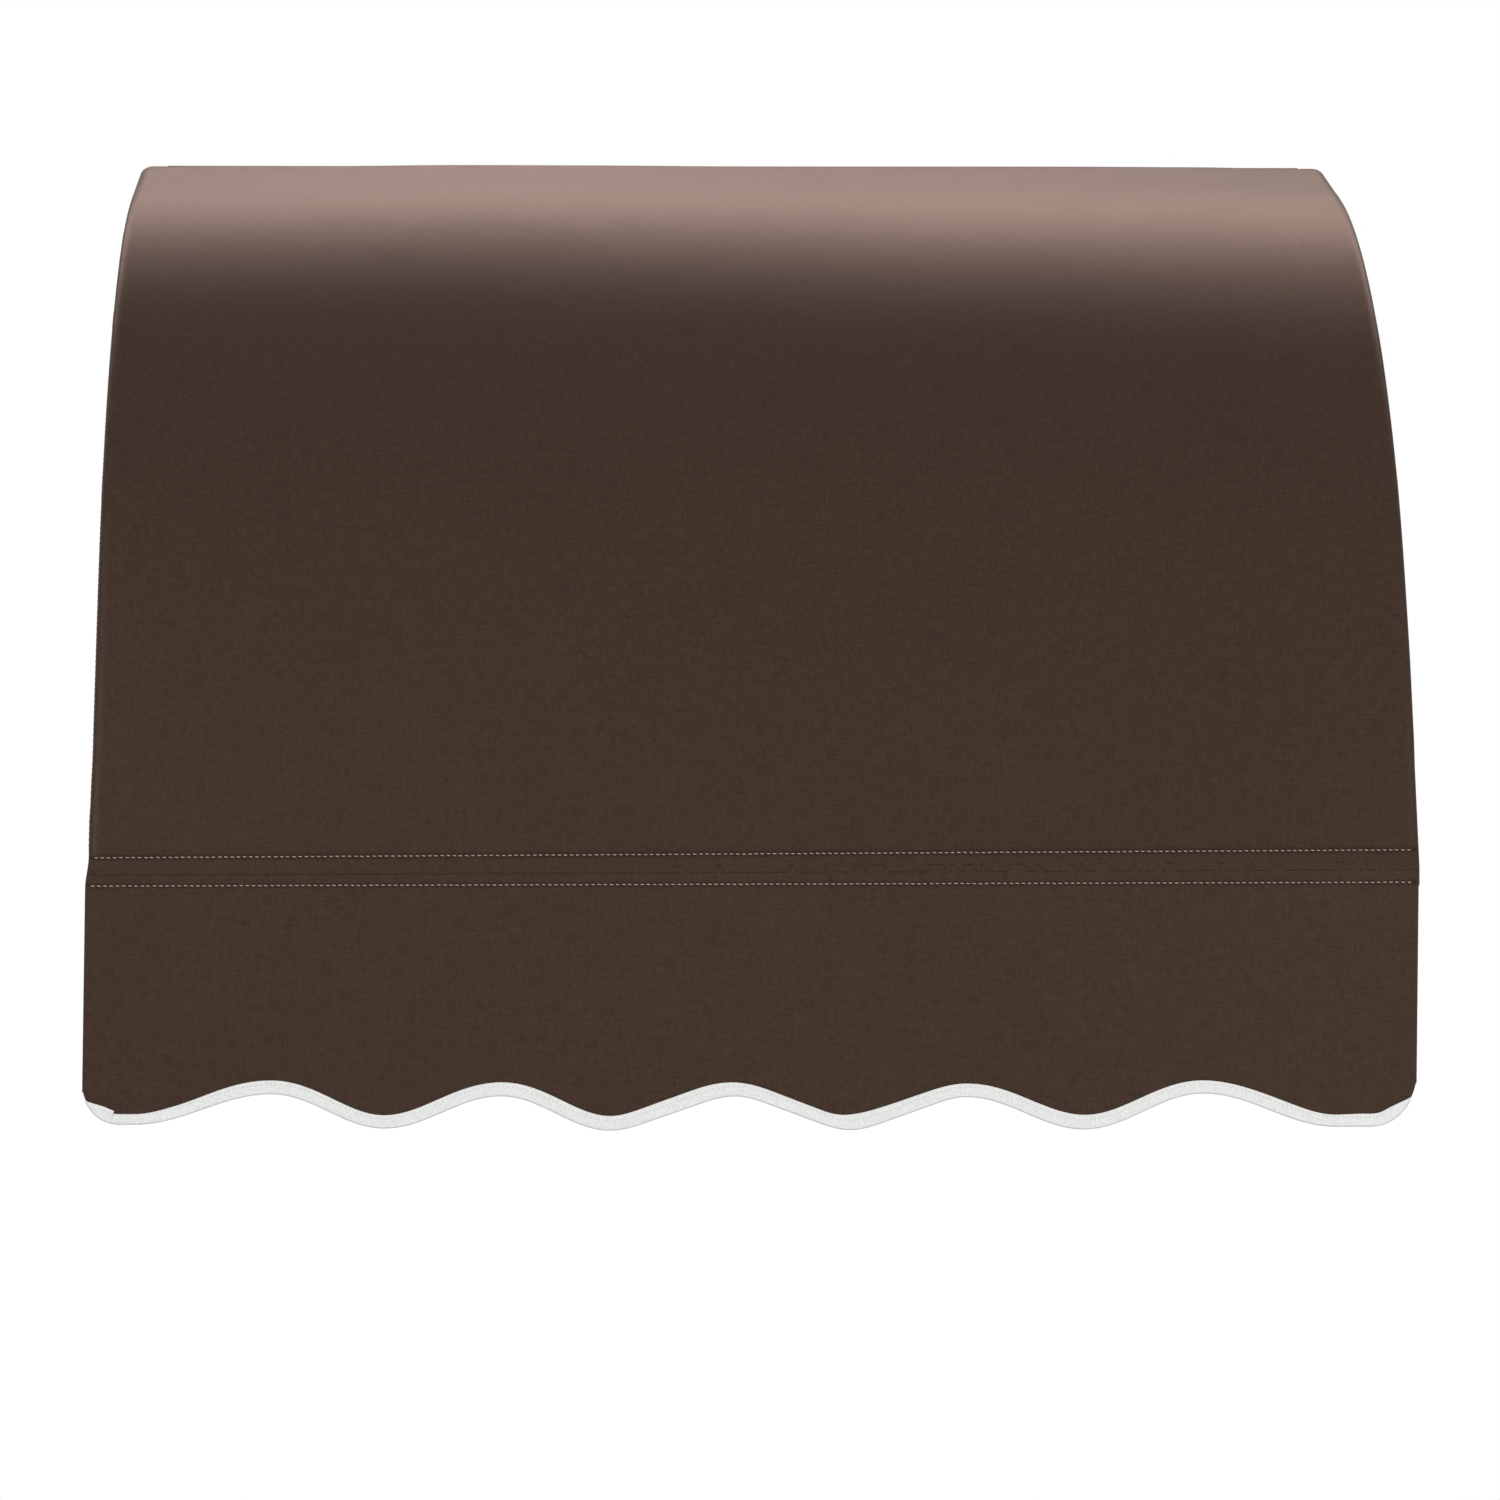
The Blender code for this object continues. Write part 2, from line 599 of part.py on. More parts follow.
def scallop_height(x):
    """Lower edge of the valance cloth: arches between lobes, level past the last lobe."""
    low = BAR_Z - VALANCE_DROP + FIT + BRAID
    last_arch = SCALLOP_PITCH * (SCALLOP_ARCHES - 1) / 2
    from_middle = x - SCALLOP_SHIFT
    if abs(from_middle) > last_arch + SCALLOP_PITCH / 2:
        return low
    wave = math.cos(2 * math.pi * from_middle / SCALLOP_PITCH)
    return low + SCALLOP_RISE * (1 + wave) / 2


def valance_edge():
    """Points of the valance's lower edge from its left side to its right."""
    end = CANOPY_WIDTH / 2 + VALANCE_EXTRA
    start_level = end - CORNER_RADIUS
    low = scallop_height(end)
    left = arc(Vector((-start_level, low + CORNER_RADIUS)), CORNER_RADIUS, math.pi, 1.5 * math.pi,
               CORNER_STEPS)
    right = [Vector((-p.x, p.y)) for p in reversed(left)]
    step = SCALLOP_PITCH / SCALLOP_STEPS
    clear = 0.4  # of a step, so that no wave point comes close to a corner's arc
    first = math.ceil((-start_level - SCALLOP_SHIFT) / step + clear)
    last = math.floor((start_level - SCALLOP_SHIFT) / step - clear)
    waves = [SCALLOP_SHIFT + i * step for i in range(first, last + 1)]
    return left + [Vector((x, scallop_height(x))) for x in waves] + right


def make_valance(shader):
    """The scalloped skirt, sewn over the front of the canopy above and below the bar."""
    bar = STATIONS[-1][0]
    end = CANOPY_WIDTH / 2 + VALANCE_EXTRA
    top = STITCH_ROW + VALANCE_MARGIN
    rings = []
    for edge in valance_edge():
        past = 1 - min(abs(end - abs(edge.x)), VALANCE_SHOULDER) / VALANCE_SHOULDER
        fall = VALANCE_SHOULDER_FALL * (1 - math.sqrt(1 - past * past))
        rows = [(bar - along(FOOT) * (top - fall), FOOT), (bar, FOOT), *front_stations(BAR_Z - edge.y)]
        faces = []
        for radius in (VALANCE_OUT, VALANCE_IN):
            faces.append([at(edge.x, point + outward(slope) * radius) for point, slope in rows])
        rings.append(faces[0] + faces[1][::-1])
    return sweep("valance", rings, shader)


def make_braid(shader):
    """White binding folded over the valance's lower edge, up round each rounded corner."""
    half = CLOTH / 2 + FIT + BRAID
    section = [(-FIT - BRAID, -half), (-FIT - BRAID, half), (BRAID_WIDTH, half), (BRAID_WIDTH, half - BRAID),
               (-FIT, half - BRAID), (-FIT, BRAID - half), (BRAID_WIDTH, BRAID - half), (BRAID_WIDTH, -half)]
    middle = BAR_Y - (VALANCE_IN + VALANCE_OUT) / 2
    edge = valance_edge()
    covered = range(BRAID_END_STEPS, len(edge) - BRAID_END_STEPS)
    rings = []
    for i in covered:
        run = (edge[i + 1] - edge[i - 1]).normalized()
        rise = Vector((-run.y, run.x))
        rings.append([])
        for up, out in section:
            point = edge[i] + rise * up
            rings[-1].append(Vector((point.x, middle - out, point.y)))
    return sweep("valance_braid", rings, shader)


def make_side(side, hand, finishes):
    """Everything that one side of the frame has of its own."""
    cast, steel = finishes["cast_aluminium"], finishes["galvanised_tube"]
    return {
        "head": make_head_corner(side, hand, cast),
        "rafter": make_rafter(side, hand, steel),
        "corner": make_front_corner(side, hand, cast),
        "base": make_wall_base(side, hand, cast),
        "side_bar": make_side_bar(side, hand, steel),
        "saddle": make_purlin_saddle(side, hand, cast),
    }


def make_side_screws(side, hand, parts, rail, front_bar, finishes):
    """A screw through each tube end into its peg, the rail's screw and the purlin's screw."""
    shader = finishes["zinc_screw"]
    x = hand * RAFTER_X
    inward = Vector((-hand, 0, 0))
    reach = SCREW_FROM_SHOULDER
    head_axis, foot_axis = along(HEAD), along(FOOT)
    bar = STATIONS[-1][0]
    joints = (
        ("rafter_head", at(x, head_shoulder() + head_axis * reach), at(0, -outward(HEAD)),
         (parts["rafter"], parts["head"])),
        ("rafter_foot", at(x, bar - foot_axis * (COLLAR + reach)), at(0, -outward(FOOT)),
         (parts["rafter"], parts["corner"])),
        ("front_bar", at(x, bar) + inward * (COLLAR + reach), Vector((0, 1, 0)),
         (front_bar, parts["corner"])),
        ("side_bar_front", Vector((x, BAR_Y + COLLAR + reach, BAR_Z)), inward,
         (parts["side_bar"], parts["corner"])),
        ("side_bar_back", Vector((x, -WALL_PLATE - reach, BAR_Z)), inward,
         (parts["side_bar"], parts["base"])),
    )
    for name, point, away, pieces in joints:
        make_screw(f"screw_{name}_{side}", point + away * TUBE_R, away, SCREW_LENGTH, pieces, shader)

    below = Vector((hand * (RAIL_HALF - PLUG_LENGTH / 2), -RAIL_DEPTH / 2, -RAIL_TOP))
    make_screw(f"screw_rail_{side}", below, Vector((0, 0, -1)), SCREW_LENGTH, (rail, parts["head"]), shader)

    point = at(x, bend_station(PURLIN_STATION)[0])
    out = Vector((hand, 0, 0))
    seat_depth = math.sqrt(BORE_R ** 2 - (SCREW_HEAD / 2 + FIT) ** 2) - FIT
    make_screw(f"screw_purlin_{side}", point - out * seat_depth, out, PURLIN_SCREW_LENGTH,
               (parts["rafter"], parts["saddle"]), shader)
    access = turned(f"screw_access_{side}", [(SCREW_HEAD / 2 + FIT, BORE_R / 2), (SCREW_HEAD / 2 + FIT, TUBE_D)],
                    point, out, shader, sides=16)
    combine(parts["rafter"], access, "DIFFERENCE")


def main():
    for piece in list(bpy.data.objects):
        bpy.data.objects.remove(piece, do_unlink=True)
    finishes = make_materials()
    steel, canvas = finishes["galvanised_tube"], finishes["brown_canvas"]

    rail = make_head_rail(finishes["extruded_aluminium"])
    front_bar = make_cross_tube("front_bar", Vector((BAR_Y, BAR_Z)), COLLAR, steel)
    make_cross_tube("purlin", bend_station(PURLIN_STATION)[0], TUBE_R + FIT + SADDLE_COLLAR, steel)
    for side, hand in SIDES:
        parts = make_side(side, hand, finishes)
        make_side_screws(side, hand, parts, rail, front_bar, finishes)
        for number in range(1, len(STRAPS_FROM_PURLIN) + 1):
            make_strap(side, hand, number, finishes["black_webbing"])

    make_bead(finishes["nylon_bead"])
    make_canopy(canvas)
    make_sleeve(canvas)
    make_valance(canvas)
    make_braid(finishes["white_braid"])


main()
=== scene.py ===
"""Looks of the fixed window awning: cloth, braid, stitching, metal finishes, light and camera.

Metres, in the part's own frame: +X to the right, -Y away from the wall, +Z up, with the origin in
the middle of the head rail's back face. Sizes that the frame holds are read from it.
"""

import json
from math import copysign, cos, exp, hypot, pi, radians, sin, sqrt, tan

import bmesh
import bpy
from mathutils import Matrix, Vector, noise

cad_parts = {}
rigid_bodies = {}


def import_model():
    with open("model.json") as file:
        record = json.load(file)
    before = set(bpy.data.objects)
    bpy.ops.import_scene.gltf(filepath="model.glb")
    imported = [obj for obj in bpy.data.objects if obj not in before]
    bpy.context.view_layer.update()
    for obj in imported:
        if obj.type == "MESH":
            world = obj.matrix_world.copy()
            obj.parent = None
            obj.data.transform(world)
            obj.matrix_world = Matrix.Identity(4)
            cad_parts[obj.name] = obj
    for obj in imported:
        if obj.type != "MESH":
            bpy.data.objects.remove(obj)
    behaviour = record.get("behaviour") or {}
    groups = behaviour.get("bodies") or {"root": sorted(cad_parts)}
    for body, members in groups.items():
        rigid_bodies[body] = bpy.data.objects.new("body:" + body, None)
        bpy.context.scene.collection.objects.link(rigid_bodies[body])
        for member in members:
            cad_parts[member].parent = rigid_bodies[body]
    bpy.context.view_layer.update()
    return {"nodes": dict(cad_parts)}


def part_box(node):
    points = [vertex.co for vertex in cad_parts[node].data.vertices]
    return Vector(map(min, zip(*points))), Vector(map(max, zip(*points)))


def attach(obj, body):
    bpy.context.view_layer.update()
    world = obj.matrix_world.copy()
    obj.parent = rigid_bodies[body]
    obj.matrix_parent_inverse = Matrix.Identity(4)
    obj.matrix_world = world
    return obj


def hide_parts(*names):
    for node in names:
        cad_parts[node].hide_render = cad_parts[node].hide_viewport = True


TURN = 2 * pi
SIDES = (("left", -1), ("right", 1))  # and the way each lies along X

# Camera, as the picture's perspective gives it
CAMERA_PLACE = (-0.1585, -5.5245, -0.5995)
CAMERA_YAW, CAMERA_PITCH, CAMERA_ROLL = (radians(degrees) for degrees in (1.782, 1.105, -0.075))
SENSOR, LENS = 36.0, 152.91  # millimetres

# Light: each lamp's name, place, point it looks at, width and height, watts and colour
PLAIN_LIGHT = (1.0, 1.0, 1.0)
WARM_LIGHT = (1.0, 0.695, 0.59)
LAMPS = (
    ("key_softbox", (-3.3, -4.0, 1.7), (0.0, -0.4, -0.4), (2.6, 2.2), 97, PLAIN_LIGHT),
    ("fill_softbox", (3.3, -4.0, 0.3), (0.0, -0.4, -0.4), (2.4, 2.4), 78, PLAIN_LIGHT),
    ("back_strip_left", (-1.14, 2.10, 1.87), (-0.4, -0.20, -0.05), (2.4, 0.25), 30, WARM_LIGHT),
    ("back_strip_right", (1.16, 1.94, 2.05), (0.4, -0.20, -0.05), (2.4, 0.25), 41, WARM_LIGHT),
)
SURROUND_LIGHT = 0.46  # of the white surround on the object
FLOOR_BELOW = 0.75  # under the valance
FLOOR_RADIUS = 14.0
FLOOR_FADE_FROM, FLOOR_FADE_OVER = 1.0, 1.1  # to white, from its middle

# Slopes of the rafter below the level, and its straight ends
HEAD, MIDDLE, FOOT, LEVEL = (radians(degrees) for degrees in (16.0, 64.0, 72.4, 90.0))
HEAD_STRAIGHT, FOOT_STRAIGHT = 0.120, 0.060
ROOF_STEP = 0.008  # between stations along the roof

# Roof cloth
WEAVE = 0.0007  # from one yarn to the next
CANVAS = 0.0007  # one layer
SLOT_FROM_WALL, SLOT_DEPTH = 0.0070, 0.0055
REAR_EDGE_SHORT = 0.003  # of the rail's end
# How it turns down, as (further out, up from the slot's mouth) pairs, and their distance when flat
REAR_EDGE_TURN = ((0.0004, 0.0002), (0.0, -0.0006), (0.0, -SLOT_DEPTH * 0.35))
REAR_EDGE_STEP = 0.002
CANOPY_STEPS, REAR_EDGE_STEPS = 110, 40  # from side to side
BAR_TURN, BAR_DROP = (0.33, 0.67, 1.0), (0.35, 0.7, 1.0)  # shares of its turn over the bar, and of its flap
RIPPLE = 0.00035
RIPPLE_SIDE, RIPPLE_END = 0.12, 0.10  # where the ripples fade
RIPPLE_UNTIL = 0.86  # along the cloth
# How far the head of the roof rises, as (x, distance) pairs
HEAD_RISE = ((-0.495, 0.0), (-0.47, 0.0002), (-0.42, 0.0003), (-0.36, 0.0006), (-0.23, 0.0018),
             (-0.13, 0.0017), (0.0, 0.0011), (0.29, 0.0015), (0.40, 0.0012), (0.47, 0.0002), (0.495, 0.0))
HEAD_RISE_FADE = 0.30  # along the cloth

# Side hems, turned round the rafters
HEM = 0.0012  # two layers
HEM_WRAP = radians(96)
HEM_STEPS = 18
HEM_DOUBLED = (radians(38), 0.05)  # from the rafter's top: where the second layer starts, and over how much
HEM_SQUARE = 1.3  # how much squarer than a circle it turns
HEM_SQUARED = (0.07, 0.22)  # along the cloth: where that starts, and over how much
# How far each hem hangs out of line, as (height, distance) pairs
HEM_LEAN = {
    -1: ((-0.600, 0.0003), (-0.578, 0.0013), (-0.558, 0.0013), (-0.54, 0.0007), (-0.50, -0.0001),
         (-0.42, -0.0003), (-0.03, -0.0003), (0.0, 0.0)),
    1: ((-0.600, -0.0003), (-0.52, -0.0003), (-0.49, 0.0002), (-0.42, 0.0006), (-0.30, 0.0008),
        (-0.18, 0.0005), (-0.13, 0.0001), (-0.10, -0.0001), (-0.07, -0.0003), (-0.03, -0.0003),
        (0.0, -0.0002)),
}
HEM_FOLLOWED = (0.35, 0.13)  # to the side: where the roof starts to follow it, and over how much

# Stitching
STITCH_PITCH = 0.00475
STITCH_LENGTH = 0.0031
THREAD = 0.00050  # radius
HEM_THREAD, TACK_THREAD = THREAD * 0.8, THREAD * 0.75  # finer ones
# One stitch, as (place along it, share of the radius, rise in radii)
STITCH_SHAPE = ((-0.50, 0.35, -0.9), (-0.36, 0.9, 0.1), (0.0, 1.0, 0.45), (0.36, 0.9, 0.1),
                (0.50, 0.35, -0.9))
STITCH_SIDES = 6
STITCH_TILT = 0.10
STITCH_PROUD = THREAD * 0.25  # of a stitch's middle over the cloth
HEM_STITCHES_AT = radians(87)
HEM_STITCHES_FROM = 0.018  # from the rafter's head
HEM_STITCHES_SHORT = 0.030  # how much shorter the row is than the rafter

# Seam over the front bar
VALANCE_MID = 0.01195  # from the bar's middle to the cloth's
VALANCE_MARGIN = 0.0018  # above the upper row
UPPER_ROW, LOWER_ROW = 0.0112, -0.0122  # heights over the bar's middle
UPPER_RISE, LOWER_RISE = 0.0049, 0.0016  # of the rows, to the right, for each metre
SEAM_END = 0.003  # without stitches
SEAM_PINCH, SEAM_SOFTNESS = 0.0005, 0.0016
SEAM_PUCKER_AND_SHADE = 0.0034  # how far the puckers, and the painted shade in them, reach from a row
SEAM_NEAR = (0.0030, 0.0014, 0.0006, 0.0, -0.0006, -0.0014, -0.0030)  # points across a row
BELOW_SEAM = -0.0065  # and one more below the lower row
UPPER_LEAN = 0.2  # how far the upper row's stitches face down
STITCH_UNEVEN, ROW_UNEVEN = 0.10, 0.00025  # along the row, of the pitch, and up or down

# Valance outline: where the scallops turn, as (x, height over the lowest one)
SCALLOPS = ((-0.4743, 0.0055), (-0.3699, 0.0287), (-0.2823, 0.0021), (-0.1931, 0.0267), (-0.1084, 0.0001),
            (-0.0128, 0.0262), (0.0766, 0.0), (0.1663, 0.0252), (0.2575, 0.0001), (0.3490, 0.0275),
            (0.4530, 0.0016))
EVEN_SLOPES = (-0.12, 0.16)  # where the edge slopes more evenly
EVEN_SHARE = 0.20
LEFT_CORNER, RIGHT_CORNER = (0.0290, 0.0300), (0.0350, 0.0400)  # width and height of the rounding

# How the valance hangs
VALANCE_SHIFT = -0.0024  # to the side, below the shoulder at the seam
SHOULDER_FALL = 0.023
VALANCE_LEAN = 0.0138  # further to the side, for each metre down
VALANCE_PINCH, PINCHED = 0.0022, (0.35, 0.16)  # of its right end at the upper row
VALANCE_SWAY, SWAY_OVER = 0.0012, 0.19
VALANCE_STEPS, SKIRT_STEPS = 320, 30
VALANCE_CROWDING = 0.82  # of its columns of points towards the side edges

# The valance's side edges, turned back below the lower row
SIDE_RETURN, RETURN_LEAST = 0.010, 0.0004
RETURN_BELOW, RETURN_OVER = 0.004, 0.02
RETURN_BULGE = 0.0018
RETURN_DEPTH = (0.0006, 0.0012)  # behind the skirt, at the seam and more below
RETURN_FLAT = (0.002, 0.012)  # beside the skirt on the uncut cloth
# Its section, as (share of the way in or of the bulge, share of the depth)
RETURN_SECTION = ((-0.25, 0.25), (-0.25, 0.75), (0.0, 1.0), (0.3, 1.0), (1.0, 1.0))

# Braid
# Its visible width varies with how it was sewn, as (x, width) pairs
BRAID_WIDTHS = ((-0.475, 0.0082), (-0.44, 0.0093), (-0.38, 0.0106), (-0.30, 0.0102), (-0.22, 0.0107),
                (-0.10, 0.0113), (-0.04, 0.0119), (0.00, 0.0104), (0.053, 0.0100), (0.084, 0.0124),
                (0.12, 0.0113), (0.17, 0.0105), (0.25, 0.0113), (0.33, 0.0103), (0.37, 0.0101),
                (0.41, 0.0106), (0.45, 0.0094), (0.475, 0.0101))
BRAID_LAP_END = -0.4925  # of the piece lapped over the left end
BRAID_LAP_SHARE = 1.26  # of the braid's width
BRAID_LAP_PROUD = 0.0005
BRAID_HALF, BRAID_LEG, BRAID_LIP = 0.0014, 0.0008, 0.0002
BRAID_INSET = BRAID_HALF + 0.0002  # from the braid's outer edge to the cloth's
BRAID_TIP_LEFT, BRAID_TIP_RIGHT, BRAID_TAPER_FROM = (radians(degrees) for degrees in (68, 65.5, 24))
BRAID_TAPER_POWER, BRAID_TAPER_LEAST = 2.4, 0.05
BRAID_ROUND, BRAID_SWELL = 0.0003, 0.00015  # of the legs' upper edges, and of the front leg
DOWN_FRONT, UP_BACK = (0.8, 0.55, 0.3), (0.4, 0.7)  # points on the legs, in shares of the width
CORNER_STEPS, EDGE_STEPS, FOLD_STEPS = 24, 300, 6
FOLD_POINT = 9  # of the section, at the bottom of the fold
CHEVRON_RUN, CHEVRON_RISE = 0.0024, 0.0028
BRAID_RIB = 0.0011
BRAID_FOLD_SHADE_AT, BRAID_FOLD_SHADE = 0.0004, 0.0017  # painted shade along the braid's fold: how far before the fold it is darkest, and its reach
BRAID_SEAM_AT, BRAID_SEAM, BRAID_STITCH = 0.0085, 0.0007, 0.0034

# Sleeve that holds the front bar
SLEEVE_LOOSE, SLEEVE_SLACK = 0.0008, 0.0007  # round the bar, and more where it bags
SLEEVE_TAB = 0.0006  # behind the bar's front
SLEEVE_PAST_ROW = 0.0022
SLEEVE_ROW = 0.55  # place of the stitches on the tab
SLEEVE_END = 0.004  # without stitches
SLEEVE_BAGGED = 0.006  # behind the bar's middle: where it bags in full
SLEEVE_STEPS, SLEEVE_ACROSS = 16, 80

# Webbing loops, which replace the straps of the frame
STRAP_WIDTH, STRAP_THICKNESS = 0.025, 0.0010
STRAP_CLEAR = 0.0003  # from the tube
STRAP_LOOSE, STRAP_SWELL = 0.0002, 0.0003
STRAP_ROUND = (HEM_WRAP - radians(1), radians(270))  # from the rafter's top, its two ends
STRAP_STEPS, STRAP_ACROSS = 24, 6
# From the loop into the tab, as (further in, over the tab) steps
STRAP_TAB = ((0.0, -0.003), (0.0012, -0.0008), (0.004, 0.0), (0.012, 0.0), (0.0195, 0.0))
TACK_INNER, TACK_OUTER = 0.0185, 0.0055  # the two rows across the tab, from the loop
TACK_EDGE = 0.42  # of the width, to the two rows along it
TACK_LENGTH = 0.0029
TACKS_ACROSS, TACKS_ALONG, ZIGZAG = 6, 4, 9  # stitches
ZIGZAG_SHARE, ZIGZAG_LEAN = 0.9, 0.9  # of the strap's width, and of each stitch
ZIGZAG_AT = HEM_WRAP - radians(14)
WEBBING_RIB, WEBBING_PICK = 0.0023, 0.0019

# Screws
SCREW_HEAD, SCREW_HEAD_HEIGHT, SCREW_SHANK = 0.0045, 0.0028, 0.0021
SCREW_PITCH, SCREW_POINT = 0.0014, 0.0016
SCREW_CORE, SCREW_CREST, SCREW_TIP = 0.80, 0.20, 0.28  # shares of the shank's radius
SCREW_CREST_SHARP = 3.4
SCREW_SIDES, SCREW_STEPS, SCREW_LEAD = 24, 34, 4  # the last is where the thread is full
# Outline of the pan head, as (share of the radius, depth under its top)
PAN_HEAD = ((0.30, 0.0), (0.62, 0.00012), (0.84, 0.0005), (0.97, 0.0012), (1.0, 0.0018),
            (0.99, SCREW_HEAD_HEIGHT - 0.0002), (0.95, SCREW_HEAD_HEIGHT))
RECESS_DEPTH = 0.0011
RECESS_ARM, RECESS_SLOT = SCREW_HEAD * 0.30, SCREW_HEAD * 0.11
RECESS_BOTTOM, RECESS_MOUTH = 0.8, 1.3  # shares of its arms below, and of its slots above
RECESS_FOLD = 6  # how sharply its arms stand out
RIM = 0.0001  # how near its top a screw's rim is looked for

# Edges of the metal pieces
SOFT_EDGES = {"cast_aluminium": 0.0005, "extruded_aluminium": 0.0003}
SHARP_ANGLE = radians(34)
JOIN_DISTANCE = 1e-5
BRAID_SHARP, SCREW_SHARP = radians(40), radians(38)  # the same angle on pieces made here

# Colours
CANVAS_BROWN = (0.0478, 0.0281, 0.0195)
THREAD_TAN = (0.39, 0.30, 0.245)
BRAID_WHITE = (0.82, 0.83, 0.81)
WEBBING_BLACK = (0.022, 0.021, 0.020)
ZINC_GREY = (0.56, 0.57, 0.58)
WHITE = (1.0, 1.0, 1.0, 1.0)


def operator(operation, reflected=False):
    """A Python operator that adds a Math node."""
    def add_node(self, other):
        pair = (other, self) if reflected else (self, other)
        return self.math(operation, *pair)
    return add_node


class Signal:
    """One output of a node, so that shader sums read as Python."""

    __add__, __radd__ = operator("ADD"), operator("ADD", reflected=True)
    __sub__, __rsub__ = operator("SUBTRACT"), operator("SUBTRACT", reflected=True)
    __mul__, __rmul__ = operator("MULTIPLY"), operator("MULTIPLY", reflected=True)
    __truediv__, __pow__ = operator("DIVIDE"), operator("POWER")

    def __init__(self, graph, socket):
        self.graph = graph
        self.socket = socket

    def beside(self, output):
        """Another output of the same node."""
        return Signal(self.graph, self.socket.node.outputs[output])

    def math(self, operation, *values):
        return self.graph.node("ShaderNodeMath", {"operation": operation}, dict(enumerate(values)))

    def __abs__(self):
        return self.math("ABSOLUTE", self)

    def sin(self):
        return self.math("SINE", self)

    def wave(self, length):
        """A sine wave of this length, from a place in metres."""
        return (self * (TURN / length)).sin()

    def held(self):
        """Kept between 0 and 1."""
        return self.math("MINIMUM", self.math("MAXIMUM", self, 0.0), 1.0)


class Graph:
    """A tree of nodes, filled one node at a time."""

    def __init__(self, tree):
        self.tree = tree
        tree.nodes.clear()

    def node(self, kind, settings=None, sockets=None, output=0):
        made = self.tree.nodes.new(kind)
        for name, value in (settings or {}).items():
            setattr(made, name, value)
        for name, value in (sockets or {}).items():
            if isinstance(value, Signal):
                self.tree.links.new(value.socket, made.inputs[name])
            else:
                made.inputs[name].default_value = value
        return Signal(self, made.outputs[output]) if made.outputs else None


class Finish(Graph):
    """The nodes of one new material."""

    def __init__(self, name):
        self.material = bpy.data.materials.new(name)
        self.material.use_nodes = True
        super().__init__(self.material.node_tree)

    def flat(self):
        """Place on the flat cloth, as (along the weft, along the warp) in metres."""
        uv = self.node("ShaderNodeUVMap", {"uv_map": "flat_cloth"})
        weft = self.node("ShaderNodeSeparateXYZ", None, {0: uv})
        return weft, weft.beside(1)

    def place(self, stretch=(1.0, 1.0, 1.0)):
        """Place on the object, in metres times the stretch."""
        spot = self.node("ShaderNodeTexCoord", output="Object")
        return self.node("ShaderNodeVectorMath", {"operation": "MULTIPLY"}, {0: spot, 1: stretch})

    def noise(self, scale, detail=3.0, roughness=0.55, stretch=(1.0, 1.0, 1.0)):
        sockets = {"Vector": self.place(stretch), "Scale": scale, "Detail": detail, "Roughness": roughness}
        return self.node("ShaderNodeTexNoise", None, sockets)

    def blend(self, factor, first, second):
        """A colour between two colours."""
        settings = {"data_type": "RGBA", "blend_type": "MIX"}
        return self.node("ShaderNodeMix", settings, {0: factor, 6: first, 7: second}, output=2)

    def bump(self, height, distance, strength):
        sockets = {"Height": height, "Distance": distance, "Strength": strength}
        return self.node("ShaderNodeBump", None, sockets)

    def surface(self, colour, roughness, normal, **more):
        """Ends the material in its shader. A further socket's name is written with _ for a space."""
        sockets = {"Base Color": colour, "Roughness": roughness, "Normal": normal}
        sockets.update({name.replace("_", " "): value for name, value in more.items()})
        shader = self.node("ShaderNodeBsdfPrincipled", None, sockets)
        self.node("ShaderNodeOutputMaterial", None, {"Surface": shader})
        return self.material


def shade(colour, factor):
    """A darker or lighter tone of a colour."""
    return (*(part * factor for part in colour), 1.0)


def canvas_material(seamed):
    """Brown canvas. The seamed one puckers along its rows of stitching, and is darkened there with painted
    shade in the puckers and at the stitch holes.
    """
    finish = Finish("brown_canvas_seamed" if seamed else "brown_canvas")
    weft, warp = finish.flat()
    weave = 0.5 + 0.5 * weft.wave(2 * WEAVE) * warp.wave(2 * WEAVE)
    slub = finish.noise(130.0, stretch=(1.0, 5.0, 5.0))
    upright = finish.noise(130.0, stretch=(5.0, 1.0, 1.0))
    cloudy = finish.noise(7.0, 2.0)
    tone = (0.15 * weave + 0.95 * (slub + upright - 1) + 0.14 * cloudy + 0.36).held()
    colour = finish.blend(tone, shade(CANVAS_BROWN, 0.66), shade(CANVAS_BROWN, 1.34))
    height = weave + 0.6 * slub + 0.6 * upright
    if seamed:
        gap = finish.node("ShaderNodeAttribute", {"attribute_name": "seam_gap"}, output="Fac")
        near = (1.15 - abs(gap) / SEAM_PUCKER_AND_SHADE).held()
        hole = 0.5 - 0.5 * weft.wave(STITCH_PITCH)
        crinkle = finish.noise(420.0, 2.0)
        # Puckers near each row: a real bump, and also painted shade that darkens the colour at the stitch
        # holes and crinkles
        pucker_and_painted_shade = near * near * (0.6 * hole + 1.1 * crinkle - 0.1)
        colour = finish.blend((pucker_and_painted_shade * 0.9).held(), colour, shade(CANVAS_BROWN, 0.30))
        height = height - 3.0 * pucker_and_painted_shade
    return finish.surface(
        colour,
        0.37 + 0.05 * slub,
        finish.bump(height, 0.00012, 0.55),
        Specular_IOR_Level=0.15,
        Specular_Tint=(1.0, 0.78, 0.68, 1.0),
    )


def thread_material():
    """Tan polyester sewing thread."""
    finish = Finish("tan_thread")
    twist = finish.noise(900.0, 2.0)
    colour = finish.blend(twist, shade(THREAD_TAN, 0.72), shade(THREAD_TAN, 1.2))
    return finish.surface(colour, 0.6 + 0.2 * twist, finish.bump(twist, 0.0001, 0.5))


